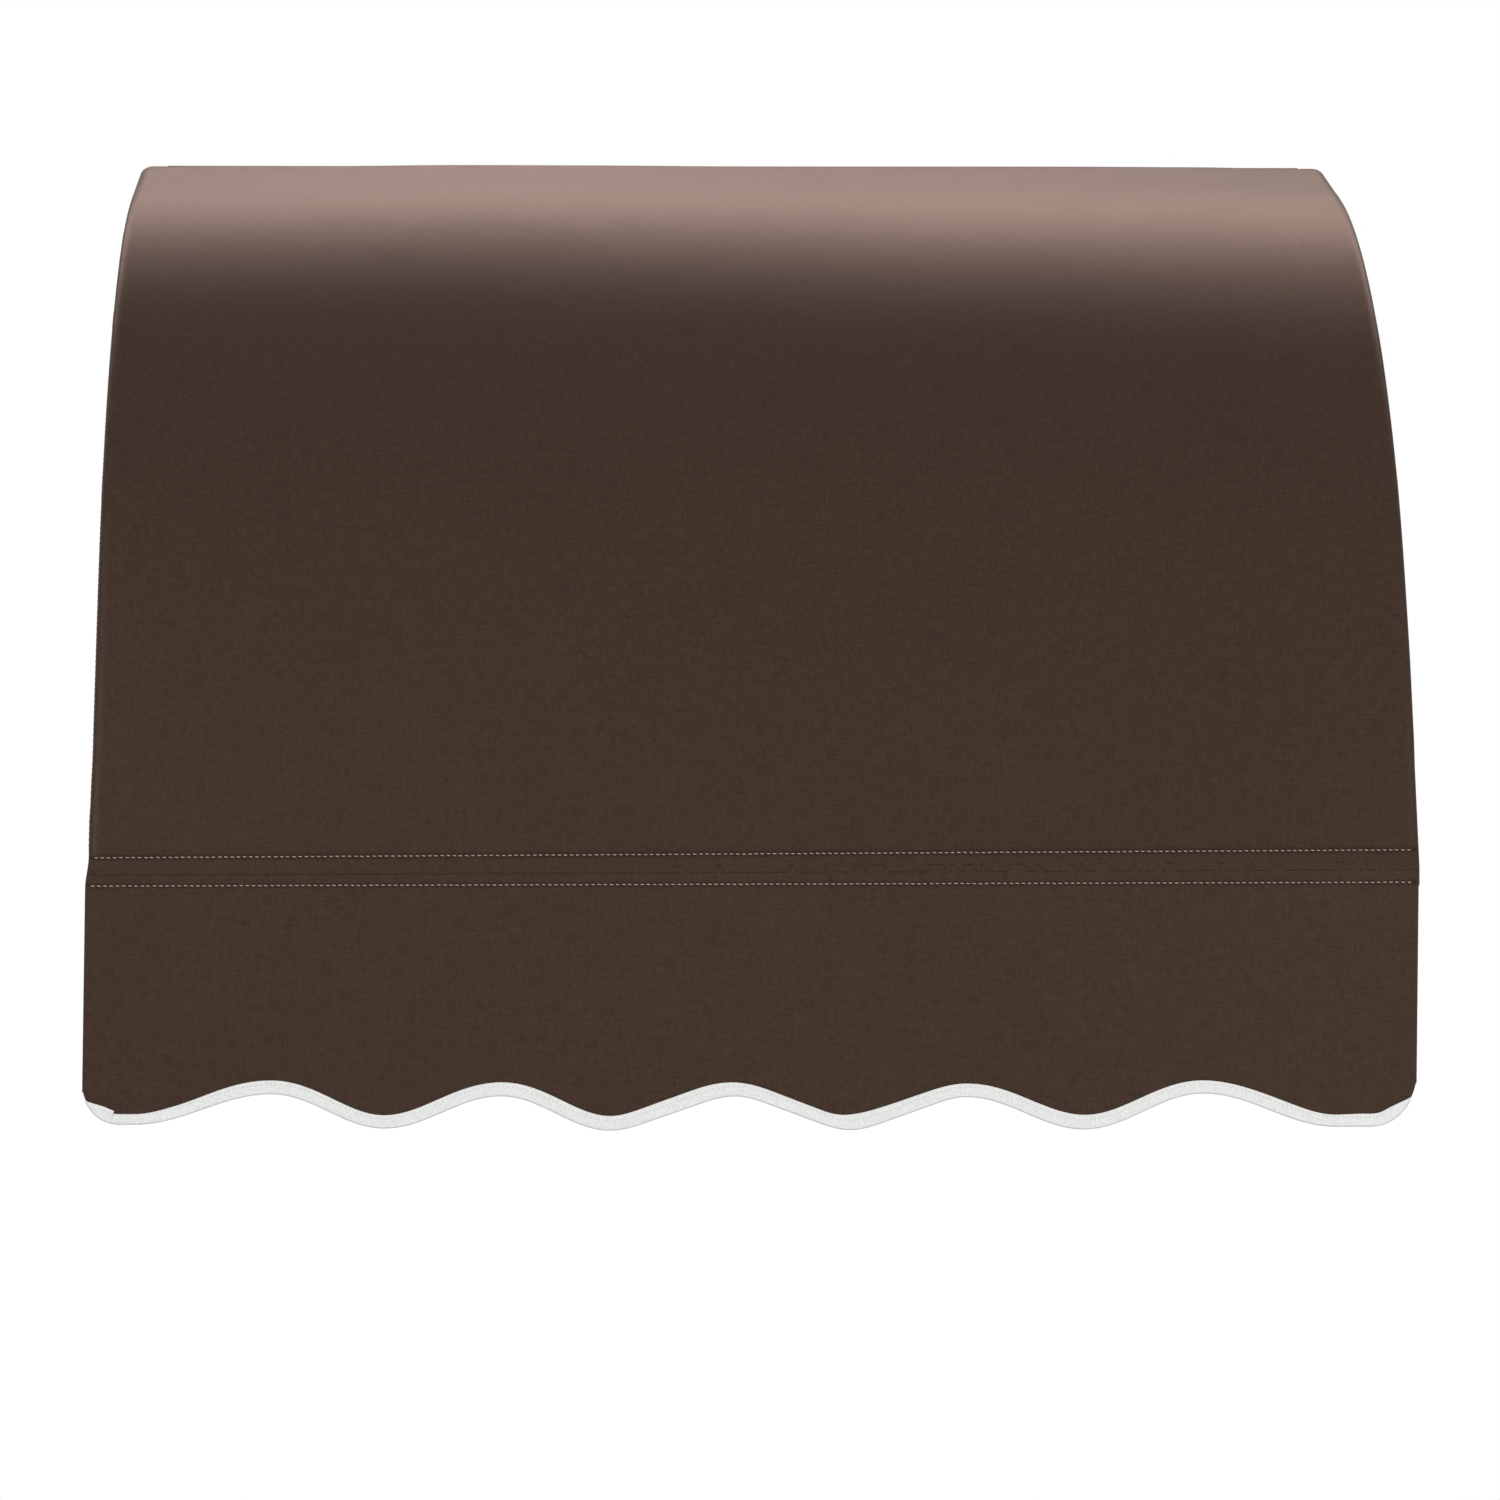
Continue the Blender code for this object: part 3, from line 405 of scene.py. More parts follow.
def braid_material():
    """White binding with a chevron weave, folded lengthwise over the edge, with painted shade along the
    fold.
    """
    finish = Finish("white_braid")
    run, across = finish.flat()
    chevron = (run * (TURN / CHEVRON_RUN) + abs(across) * (TURN / CHEVRON_RISE)).sin()
    rib = across.wave(BRAID_RIB)
    fuzz = finish.noise(360.0)
    worn = finish.noise(30.0, 2.0)
    # Painted shade: a grey line along the fold, where the braid turns under away from the light
    fold_painted_shade = (1 - abs(across + BRAID_FOLD_SHADE_AT) / BRAID_FOLD_SHADE).held()
    sewn = (1 - abs(across + BRAID_SEAM_AT) / BRAID_SEAM).held() * (run.wave(BRAID_STITCH) * 3).held()
    tone = (0.40 + 0.12 * chevron + 0.10 * rib + 0.3 * worn + 1.6 * (fuzz - 0.5)).held()
    colour = finish.blend(tone, shade(BRAID_WHITE, 0.83), shade(BRAID_WHITE, 1.03))
    # Darkened by the painted shade along the fold, and at the braid's own stitch dots
    colour = finish.blend((fold_painted_shade + 0.6 * sewn).held(), colour, shade(BRAID_WHITE, 0.55))
    height = 0.5 * chevron + 0.35 * rib + 0.6 * fuzz
    normal = finish.bump(height, 0.00012, 0.5)
    return finish.surface(colour, 0.78 + 0.1 * fuzz, normal, Specular_IOR_Level=0.2, Sheen_Weight=0.15)


def webbing_material():
    """Black polypropylene webbing with ribs along it."""
    finish = Finish("black_webbing")
    run, across = finish.flat()
    rib = abs(across.wave(2 * WEBBING_RIB))
    pick = (run * (TURN / WEBBING_PICK) + rib * 2.0).sin()
    fuzz = finish.noise(800.0)
    tone = (0.3 * rib + 0.25 * pick + 0.5 * fuzz).held()
    colour = finish.blend(tone, shade(WEBBING_BLACK, 0.7), shade(WEBBING_BLACK, 1.9))
    return finish.surface(colour, 0.62 + 0.2 * fuzz, finish.bump(rib + 0.4 * pick, 0.0003, 0.6))


def galvanised_material():
    """Zinc-coated tube with large dull crystals."""
    finish = Finish("galvanised_tube")
    sockets = {"Vector": finish.place(), "Scale": 160.0, "Randomness": 1.0}
    cells = finish.node("ShaderNodeTexVoronoi", {"feature": "F1"}, sockets, output="Color")
    grey = finish.node("ShaderNodeSeparateXYZ", None, {0: cells})
    fine = finish.noise(240.0)
    dull = finish.noise(14.0, 4.0)
    tone = (0.5 * grey + 0.25 * fine + 0.35 * dull).held()
    colour = finish.blend(tone, shade(ZINC_GREY, 0.72), shade(ZINC_GREY, 1.12))
    roughness = (0.30 + 0.14 * grey + 0.16 * dull).held()
    return finish.surface(colour, roughness, finish.bump(grey + fine, 0.00006, 0.35), Metallic=1.0)


def extruded_material():
    """Mill-finish aluminium with die lines along the rail."""
    finish = Finish("extruded_aluminium")
    lines = finish.noise(6.0, 4.0, stretch=(1.0, 260.0, 260.0))
    dull = finish.noise(22.0)
    tone = (0.5 * lines + 0.5 * dull).held()
    colour = finish.blend(tone, (0.66, 0.67, 0.69, 1.0), (0.86, 0.87, 0.88, 1.0))
    roughness = (0.26 + 0.12 * lines + 0.10 * dull).held()
    return finish.surface(colour, roughness, finish.bump(lines, 0.00004, 0.4), Metallic=1.0)


def cast_material():
    """Sand-grained cast aluminium."""
    finish = Finish("cast_aluminium")
    grain = finish.noise(620.0, 4.0, 0.7)
    pits = finish.noise(170.0, 2.0)
    tone = (0.55 * grain + 0.45 * pits).held()
    colour = finish.blend(tone, (0.34, 0.345, 0.35, 1.0), (0.66, 0.67, 0.68, 1.0))
    normal = finish.bump(grain + 0.7 * pits, 0.00018, 0.6)
    return finish.surface(colour, (0.40 + 0.25 * grain).held(), normal, Metallic=1.0)


def zinc_screw_material():
    """Yellowish zinc plating."""
    finish = Finish("zinc_screw")
    film = finish.noise(150.0)
    colour = finish.blend(film, (0.60, 0.60, 0.58, 1.0), (0.76, 0.74, 0.66, 1.0))
    return finish.surface(colour, 0.22 + 0.16 * film, finish.bump(film, 0.00003, 0.3), Metallic=1.0)


def nylon_material():
    """Milky nylon of the bead in the rail's slot."""
    finish = Finish("nylon_bead")
    wax = finish.noise(60.0, stretch=(1.0, 8.0, 8.0))
    colour = finish.blend(wax, (0.66, 0.66, 0.63, 1.0), (0.78, 0.78, 0.75, 1.0))
    return finish.surface(colour, 0.38 + 0.2 * wax, finish.bump(wax, 0.00005, 0.3))


def floor_material():
    """Pale floor that keeps the shadow and fades to plain white further out."""
    finish = Finish("pale_floor")
    across = finish.node("ShaderNodeSeparateXYZ", None, {0: finish.place()})
    away = across.beside(1)
    radius = (across * across + away * away) ** 0.5
    far = ((radius - FLOOR_FADE_FROM) / FLOOR_FADE_OVER).held()
    camera_ray = finish.node("ShaderNodeLightPath", output="Is Camera Ray")
    seen = camera_ray + camera_ray.beside("Is Glossy Ray") + camera_ray.beside("Is Transmission Ray")
    factor = seen.held() * far * far * (3 - 2 * far)
    colour = finish.blend(finish.noise(3.0), (0.83, 0.86, 0.875, 1.0), (0.86, 0.89, 0.905, 1.0))
    pale = finish.node("ShaderNodeBsdfPrincipled", None, {"Base Color": colour, "Roughness": 0.9})
    white = finish.node("ShaderNodeEmission", None, {"Color": WHITE, "Strength": 1.0})
    mixed = finish.node("ShaderNodeMixShader", None, {0: factor, 1: pale, 2: white})
    finish.node("ShaderNodeOutputMaterial", None, {"Surface": mixed})
    return finish.material


def make_materials():
    return {
        "brown_canvas": canvas_material(False),
        "seamed_canvas": canvas_material(True),
        "tan_thread": thread_material(),
        "white_braid": braid_material(),
        "black_webbing": webbing_material(),
        "galvanised_tube": galvanised_material(),
        "extruded_aluminium": extruded_material(),
        "cast_aluminium": cast_material(),
        "zinc_screw": zinc_screw_material(),
        "nylon_bead": nylon_material(),
    }


def along(slope):
    """Direction, as (y, z), of a line that falls away from the wall at this slope."""
    return Vector((-cos(slope), -sin(slope)))


def outward(slope):
    """Direction square to that line, out through the cloth."""
    return Vector((-sin(slope), cos(slope)))


def at(x, point):
    """The point of the side view (y, z), placed at x."""
    return Vector((x, point[0], point[1]))


def smooth(share):
    """Eases from 0 to 1, and stays level outside."""
    share = min(max(share, 0.0), 1.0)
    return share * share * (3 - 2 * share)


def ramp(place, span):
    """Eases from 0 to 1 over a span, given as (start, length)."""
    return smooth((place - span[0]) / span[1])


def bell(distance, width):
    return exp(-((distance / width) ** 2))


def wander(*place):
    """Smooth noise between -1 and 1."""
    return noise.noise(Vector(place))


def between(pairs, place):
    """Value at a place from sorted (place, value) pairs, level past both ends."""
    for (start, first), (end, last) in zip(pairs, pairs[1:]):
        if start <= place <= end:
            return first + (last - first) * smooth((place - start) / (end - start))
    return pairs[0][1] if place < pairs[0][0] else pairs[-1][1]


def evenly(first, last, steps):
    """Evenly spaced values from first to last, with both of them."""
    return [first + (last - first) * step / steps for step in range(steps + 1)]


def spread(half, steps):
    """Evenly spaced places from -half to half."""
    return [half * (2 * step / steps - 1) for step in range(steps + 1)]


def runs_along(path):
    """Length of the path up to each of its points."""
    runs = [0.0]
    for first, second in zip(path, path[1:]):
        runs.append(runs[-1] + (second - first).length)
    return runs


def chaikin(path, rounds=2):
    """The path with its corners cut, and its two ends kept."""
    for _ in range(rounds):
        cut = [path[0]]
        for first, second in zip(path, path[1:]):
            cut += [first.lerp(second, 0.25), first.lerp(second, 0.75)]
        path = cut + [path[-1]]
    return path


class Frame:
    """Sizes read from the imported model."""

    def __init__(self):
        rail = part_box("head_rail")
        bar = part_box("front_bar")
        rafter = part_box("rafter_right")
        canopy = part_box("canopy")
        self.rail_top = rail[1].z
        self.rail_half = rail[1].x
        self.tube = (bar[1].z - bar[0].z) / 2
        self.bar = Vector(((bar[0].y + bar[1].y) / 2, (bar[0].z + bar[1].z) / 2))
        self.rafter_x = (rafter[0].x + rafter[1].x) / 2
        self.canopy_half = canopy[1].x
        self.canopy_low = canopy[0].z
        self.valance_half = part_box("valance")[1].x
        self.braid_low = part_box("valance_braid")[0].z
        self.sleeve_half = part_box("bar_sleeve")[1].x
        self.cloth_mid = self.canopy_half - self.rafter_x - HEM / 2


def roof_line(frame):
    """Middle line of a rafter from the wall down, as (point, slope) pairs."""
    start = Vector((0.0, frame.rail_top - frame.tube / cos(HEAD)))
    bends = frame.bar - start - along(HEAD) * HEAD_STRAIGHT - along(FOOT) * FOOT_STRAIGHT
    upper = outward(MIDDLE) - outward(HEAD)
    lower = outward(FOOT) - outward(MIDDLE)
    cross = upper.x * lower.y - upper.y * lower.x
    upper_radius = (bends.x * lower.y - bends.y * lower.x) / cross
    lower_radius = (upper.x * bends.y - upper.y * bends.x) / cross

    runs = evenly(0.0, HEAD_STRAIGHT, round(HEAD_STRAIGHT / ROOF_STEP))
    line = [(start + along(HEAD) * run, HEAD) for run in runs[:-1]]
    point = start + along(HEAD) * HEAD_STRAIGHT
    for first, last, radius in ((HEAD, MIDDLE, upper_radius), (MIDDLE, FOOT, lower_radius)):
        centre = point - outward(first) * radius
        slopes = evenly(first, last, round(radius * (last - first) / ROOF_STEP))
        line += [(centre + outward(slope) * radius, slope) for slope in slopes[:-1]]
        point = centre + outward(last) * radius
    runs = evenly(0.0, FOOT_STRAIGHT, round(FOOT_STRAIGHT / ROOF_STEP))
    return line + [(point + along(FOOT) * run, FOOT) for run in runs]


def line_at(line, run):
    """Point and slope of the line at a run from its start."""
    for (first, slope), (second, next_slope) in zip(line, line[1:]):
        step = (second - first).length
        if run <= step:
            share = run / step
            return first.lerp(second, share), slope + (next_slope - slope) * share
        run -= step
    return line[-1]


def new_object(name, data):
    """An object in the scene that holds this mesh, lamp or lens."""
    thing = bpy.data.objects.new(name, data)
    bpy.context.scene.collection.objects.link(thing)
    return thing


def own_object(name, builder, finish, sharp_angle=None):
    """Turns a bmesh into an object with its faces pointing out."""
    bmesh.ops.recalc_face_normals(builder, faces=builder.faces)
    mesh = bpy.data.meshes.new(name)
    builder.to_mesh(mesh)
    builder.free()
    mesh.shade_smooth()
    if sharp_angle:
        mesh.set_sharp_from_angle(angle=sharp_angle)
    mesh.materials.append(finish)
    return new_object(name, mesh)


def ring(builder, radii, z):
    """Vertices round the Z axis, one for each radius."""
    points = []
    for k, radius in enumerate(radii):
        angle = TURN * k / len(radii)
        points.append(builder.verts.new((radius * cos(angle), radius * sin(angle), z)))
    return points


def join_rings(builder, rings):
    """Faces from each ring of vertices to the next."""
    for first, second in zip(rings, rings[1:]):
        for k in range(len(first)):
            m = (k + 1) % len(first)
            builder.faces.new((first[k], first[m], second[m], second[k]))


def skin(builder, rows, closed=False):
    """Vertices and faces through rows of (point, place on the uncut cloth, ...) cells."""
    flat_cloth = builder.loops.layers.uv.new("flat_cloth")
    corners = [[builder.verts.new(cell[0]) for cell in row] for row in rows]
    count = len(rows[0])
    for i in range(len(rows) - 1):
        for j in range(count if closed else count - 1):
            k = (j + 1) % count
            spots = ((i, j), (i, k), (i + 1, k), (i + 1, j))
            face = builder.faces.new([corners[a][b] for a, b in spots])
            for loop, (a, b) in zip(face.loops, spots):
                loop[flat_cloth].uv = rows[a][b][1]
    return corners


def sheet(name, rows, finish, thickness, value_as=None):
    """A sheet of cloth through rows of (point, place on the uncut cloth, value) cells.

    Where value_as is "layers", the value is the point's share of the thickness. Where it is
    "seam_gap", the value is the distance to the nearest row of stitching. Else there is none.
    """
    builder = bmesh.new()
    seam_gap = builder.verts.layers.float.new("seam_gap") if value_as == "seam_gap" else None
    corners = skin(builder, rows)
    if seam_gap is not None:
        for corner_row, row in zip(corners, rows):
            for corner, cell in zip(corner_row, row):
                corner[seam_gap] = cell[2]
    piece = own_object(name, builder, finish)
    solid = piece.modifiers.new("cloth", "SOLIDIFY")
    solid.thickness = thickness
    solid.offset = 0.0
    if value_as == "layers":
        group = piece.vertex_groups.new(name="layers")
        shares = [cell[2] for row in rows for cell in row]
        for index, share in enumerate(shares):
            group.add([index], share, "REPLACE")
        solid.vertex_group = "layers"
        solid.thickness_vertex_group = 0.0
    return piece


def stitches(name, places, radius, length, finish, tilt=0.0):
    """Stitches in one object, at (middle, run, out) places with two unit vectors each."""
    builder = bmesh.new()
    for middle, run, out in places:
        turned = run * cos(tilt) + out.cross(run) * sin(tilt)
        beside = out.cross(turned)
        rings = []
        for place, share, rise in STITCH_SHAPE:
            centre = middle + turned * (place * length) + out * (rise * radius)
            loop = []
            for k in range(STITCH_SIDES):
                angle = TURN * k / STITCH_SIDES
                offset = beside * cos(angle) + out * sin(angle)
                loop.append(builder.verts.new(centre + offset * (radius * share)))
            rings.append(loop)
        join_rings(builder, rings)
        builder.faces.new(rings[0][::-1])
        builder.faces.new(rings[-1])
    return own_object(name, builder, finish)


def hem_place(radius, angle, run):
    """How far aside of the rafter and over it a hem lies, and which way it faces."""
    power = 2 + HEM_SQUARE * ramp(run, HEM_SQUARED)
    side, up = abs(sin(angle)), cos(angle)
    reach = radius / (side ** power + abs(up) ** power) ** (1 / power)
    facing = Vector((side ** (power - 1), copysign(abs(up) ** (power - 1), up))).normalized()
    return reach * side, reach * up, facing


def hem_surface(frame, hand, station, angle, run, offset=0.0):
    """A point in the middle of a hem's cloth, and the way out of it."""
    point, slope = station
    lean = between(HEM_LEAN[hand], (point + outward(slope) * frame.cloth_mid).y)
    aside, over, facing = hem_place(frame.cloth_mid, angle, run)
    place = point + along(slope) * offset + outward(slope) * over
    out = Vector((hand * facing.x, 0, 0)) + at(0, outward(slope)) * facing.y
    return at(hand * (frame.rafter_x + lean + aside), place), out


def make_canopy(frame, line, finish):
    """The roof cloth from the rail's slot to the flap below the front bar."""
    wrap = evenly(0.0, HEM_WRAP, HEM_STEPS)[1:]
    section = [(-frame.rafter_x, -angle) for angle in reversed(wrap)]
    section += [(x, 0.0) for x in spread(frame.rafter_x, CANOPY_STEPS)]
    section += [(frame.rafter_x, angle) for angle in wrap]

    stations = [(point, slope) for point, slope in line if -point.x > SLOT_FROM_WALL]
    stations += [(frame.bar, FOOT + (LEVEL - FOOT) * share) for share in BAR_TURN]
    below = frame.bar.y - frame.canopy_low
    stations += [(frame.bar + along(LEVEL) * (below * share), LEVEL) for share in BAR_DROP]
    surfaces = [point + outward(slope) * frame.cloth_mid for point, slope in stations]

    rows = []
    runs = runs_along(surfaces)
    for (point, slope), surface, run in zip(stations, surfaces, runs):
        row = []
        for start, angle in section:
            aside, height, _ = hem_place(frame.cloth_mid, angle, run)
            x = start + copysign(aside, angle)
            free = smooth((frame.rafter_x - abs(x)) / RIPPLE_SIDE) * smooth(run / RIPPLE_END)
            free *= smooth((RIPPLE_UNTIL - run) / RIPPLE_END)
            ripple = wander(x * 5.0, run * 4.0, 3.0) * RIPPLE * free
            ripple += between(HEAD_RISE, x) * (1 - smooth(run / HEAD_RISE_FADE))
            hand = 1 if x > 0 else -1
            lean = between(HEM_LEAN[hand], surface.y) * ramp(abs(x), HEM_FOLLOWED)
            double = ramp(abs(angle), HEM_DOUBLED)
            share = (CANVAS + (HEM - CANVAS) * double) / HEM
            spot = at(x + hand * lean, point + outward(slope) * (height + ripple))
            row.append((spot, (start + frame.cloth_mid * angle, run), share))
        rows.append(row)
    canopy = sheet("canopy_cloth", rows, finish, HEM, "layers")
    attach(canopy, "root")
    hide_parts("canopy")
    return canopy, runs[-1]


def make_rear_edge(frame, line, finish):
    """The cloth's rear edge, which turns down into the rail's slot round the bead."""
    point, slope = [pair for pair in line if -pair[0].x > SLOT_FROM_WALL][0]
    top = frame.rail_top - SLOT_FROM_WALL * tan(HEAD) + CANVAS
    path = [point + outward(slope) * frame.cloth_mid]
    for further, up in REAR_EDGE_TURN:
        path.append(Vector((-SLOT_FROM_WALL - further, top + up)))
    xs = spread(frame.rail_half - REAR_EDGE_SHORT, REAR_EDGE_STEPS)
    rows = [[(at(x, spot), (x, -REAR_EDGE_STEP * k)) for x in xs] for k, spot in enumerate(path)]
    edge = sheet("canopy_rear_edge", rows, finish, CANVAS)
    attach(edge, "root")
    return edge


def upper_row(x):
    """Height of the upper row of stitching from the bar's middle."""
    return UPPER_ROW + UPPER_RISE * x


def lower_row(x):
    """Height of the lower row of stitching from the bar's middle."""
    return LOWER_ROW + LOWER_RISE * x


def front_depth(height, radius):
    """How far the cloth lies in front of the bar's middle, at this height from it."""
    bend = radius * cos(FOOT)
    if height <= 0:
        return radius
    if height < bend:
        return sqrt(radius * radius - height * height)
    return radius * sin(FOOT) - (height - bend) / tan(FOOT)


def valance_depth(x, height):
    """How far the valance lies in front of the bar's middle."""
    pinch = bell(height - upper_row(x), SEAM_SOFTNESS) + bell(height - lower_row(x), SEAM_SOFTNESS)
    hanging = smooth((lower_row(x) - height) / SWAY_OVER)
    sway = VALANCE_SWAY * hanging * wander(x * 4.2, height * 3.0, 8.0)
    return front_depth(height, VALANCE_MID) - SEAM_PINCH * pinch + sway


def outline_height(frame, x):
    """Outer edge of the braid, between the rounded corners."""
    for (start, first), (end, last) in zip(SCALLOPS, SCALLOPS[1:]):
        if start <= x <= end:
            share = (x - start) / (end - start)
            if EVEN_SLOPES[0] < start < EVEN_SLOPES[1]:
                share += EVEN_SHARE * sin(TURN * share) / TURN
            turn = 0.5 - 0.5 * cos(pi * share)
            return frame.braid_low + first + (last - first) * turn
    return frame.braid_low + (SCALLOPS[0][1] if x < 0 else SCALLOPS[-1][1])


def edge_height(frame, x):
    """Outer edge of the valance at x, with the rounded corners."""
    wide, tall = RIGHT_CORNER if x > 0 else LEFT_CORNER
    past = max(1 - (frame.valance_half - abs(x)) / wide, 0.0)
    return outline_height(frame, x) + tall * (1 - sqrt(1 - past * past))


def hung(frame, x, height, out=0.0):
    """The valance's point at x, its height over the bar and how far out of its middle."""
    fall = smooth((upper_row(x) - height) / SHOULDER_FALL)
    aside = VALANCE_SHIFT * fall + VALANCE_LEAN * min(height, 0.0)
    aside -= VALANCE_PINCH * ramp(x, PINCHED) * (1 - fall)
    return Vector((x + aside, frame.bar.x - valance_depth(x, height) - out, frame.bar.y + height))


def valance_heights(frame, x):
    """Heights over the bar of the valance's points at x, from the top down."""
    high, low, gap = upper_row(x), lower_row(x), SEAM_NEAR[0]
    heights = [high + VALANCE_MARGIN] + [high + near for near in SEAM_NEAR[2:]]
    heights += [high - gap + (low + 2 * gap - high) * k / 4 for k in (1, 2, 3)]
    heights += [low + near for near in (*SEAM_NEAR, BELOW_SEAM)]
    bottom = edge_height(frame, x) + BRAID_INSET - frame.bar.y
    return heights + evenly(heights[-1], bottom, SKIRT_STEPS)[1:]


def side_return(edge, x, height, hand):
    """Cells of the valance's side edge, turned back behind the skirt."""
    back = smooth((lower_row(x) - RETURN_BELOW - height) / RETURN_OVER)
    reach = RETURN_LEAST + (SIDE_RETURN - RETURN_LEAST) * back
    cells = []
    for inward, behind in RETURN_SECTION:
        spot = edge.copy()
        spot.x -= hand * inward * (RETURN_BULGE if inward < 0 else reach)
        spot.y += behind * (RETURN_DEPTH[0] + RETURN_DEPTH[1] * back)
        cells.append((spot, (x + hand * (RETURN_FLAT[0] + RETURN_FLAT[1] * behind), -height), 1.0))
    return cells


def make_valance(frame, finish):
    """The scalloped skirt, sewn above and below the bar, with its side edges turned back."""
    half = frame.valance_half - CANVAS
    columns = []
    for share in spread(1.0, VALANCE_STEPS):
        crowded = half * sin(share * pi / 2) * VALANCE_CROWDING
        x = crowded + half * share * (1 - VALANCE_CROWDING)
        columns.append((x, valance_heights(frame, x)))
    rows = []
    for i in range(len(columns[0][1])):
        row = []
        for x, heights in columns:
            gap = min(heights[i] - upper_row(x), heights[i] - lower_row(x), key=abs)
            row.append((hung(frame, x, heights[i]), (x, -heights[i]), gap))
        (first_x, first_heights), (last_x, last_heights) = columns[0], columns[-1]
        left = side_return(row[0][0], first_x, first_heights[i], -1)
        right = side_return(row[-1][0], last_x, last_heights[i], 1)
        rows.append(left[::-1] + row + right)
    valance = sheet("valance_cloth", rows, finish, CANVAS, "seam_gap")
    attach(valance, "root")
    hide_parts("valance")
    return valance


def braid_corner(frame, hand, corner, tip):
    """(x, z, width) points of the braid's outer edge round a corner, from its tip down."""
    wide, tall = corner
    points = []
    for step in range(CORNER_STEPS + 1):
        angle = tip * (1 - step / CORNER_STEPS)
        x = hand * (frame.valance_half - wide + wide * sin(angle))
        z = outline_height(frame, x) + tall * (1 - cos(angle))
        taper = 1 - max(0.0, (angle - BRAID_TAPER_FROM) / (tip - BRAID_TAPER_FROM)) ** BRAID_TAPER_POWER
        points.append((x, z, between(BRAID_WIDTHS, x) * max(taper, BRAID_TAPER_LEAST)))
    return points


def braid_outline(frame):
    """(x, z, width) points of the braid's outer edge, from its left tip to its right one."""
    start, end = LEFT_CORNER[0] - frame.valance_half, frame.valance_half - RIGHT_CORNER[0]
    points = braid_corner(frame, -1, LEFT_CORNER, BRAID_TIP_LEFT)
    for x in evenly(start, end, EDGE_STEPS)[1:-1]:
        points.append((x, outline_height(frame, x), between(BRAID_WIDTHS, x)))
    return points + braid_corner(frame, 1, RIGHT_CORNER, BRAID_TIP_RIGHT)[::-1]


def braid_section(width, proud):
    """(height over the edge, distance out) points, from the front leg round the fold."""
    inner, full = BRAID_HALF - BRAID_LEG, BRAID_HALF + proud
    lip, tuck = width + BRAID_LIP, width - 2 * BRAID_LIP
    section = [(width, inner + proud), (lip, full - BRAID_ROUND), (tuck, full)]
    section += [(width * share, full + BRAID_SWELL * sin(pi * share)) for share in DOWN_FRONT]
    section += [(full - full * sin(angle), full * cos(angle)) for angle in evenly(0.0, pi, FOLD_STEPS)]
    section += [(width * share, -full) for share in UP_BACK]
    section += [(tuck, -full), (lip, -full + BRAID_ROUND), (width, -inner)]
    section += [(width * 0.5, -inner), (2 * inner, -inner), (2 * inner, inner + proud)]
    return section + [(width * 0.5, inner + proud)]


def make_braid(frame, name, outline, finish, proud=0.0):
    """Binding folded over the valance's edge: a front leg, the fold and a back leg."""
    rows = []
    run = 0.0
    for i, (x, z, width) in enumerate(outline):
        first, last = outline[max(i - 1, 0)], outline[min(i + 1, len(outline) - 1)]
        tangent = Vector((last[0] - first[0], last[1] - first[1])).normalized()
        rise = Vector((-tangent.y, tangent.x))
        run += hypot(x - outline[i - 1][0], z - outline[i - 1][1]) if i else 0.0
        section = braid_section(width, proud)
        around = runs_along([Vector(point) for point in section])
        row = []
        for (up, out), across in zip(section, around):
            spot = Vector((x, z)) + rise * min(max(up, 0.0), max(width, BRAID_LEG))
            place = hung(frame, spot.x, spot.y - frame.bar.y, out)
            row.append((place, (run, across - around[FOLD_POINT])))
        rows.append(row)
    builder = bmesh.new()
    loops = skin(builder, rows, closed=True)
    builder.faces.new(loops[0][::-1])
    builder.faces.new(loops[-1])
    return own_object(name, builder, finish, BRAID_SHARP)


def make_seam_stitches(frame, finish):
    """Both rows of stitching over the front bar, on the outside of the valance."""
    half = frame.canopy_half - SEAM_END
    made = []
    for name, row, lean in (("upper", upper_row, UPPER_LEAN), ("lower", lower_row, 0.0)):
        out = -Vector((0, 1, lean)).normalized()
        places = []
        for k in range(int(2 * half / STITCH_PITCH)):
            x = -half + STITCH_PITCH * (k + 0.5 + STITCH_UNEVEN * wander(k * 0.7, 0.0, 1.0))
            height = row(x) + ROW_UNEVEN * wander(k * 0.31, 2.0, 0.0)
            places.append((hung(frame, x, height, CANVAS / 2 + STITCH_PROUD), Vector((1, 0, 0)), out))
        made.append(stitches(f"seam_stitches_{name}", places, THREAD, STITCH_LENGTH, finish, -STITCH_TILT))
    return made


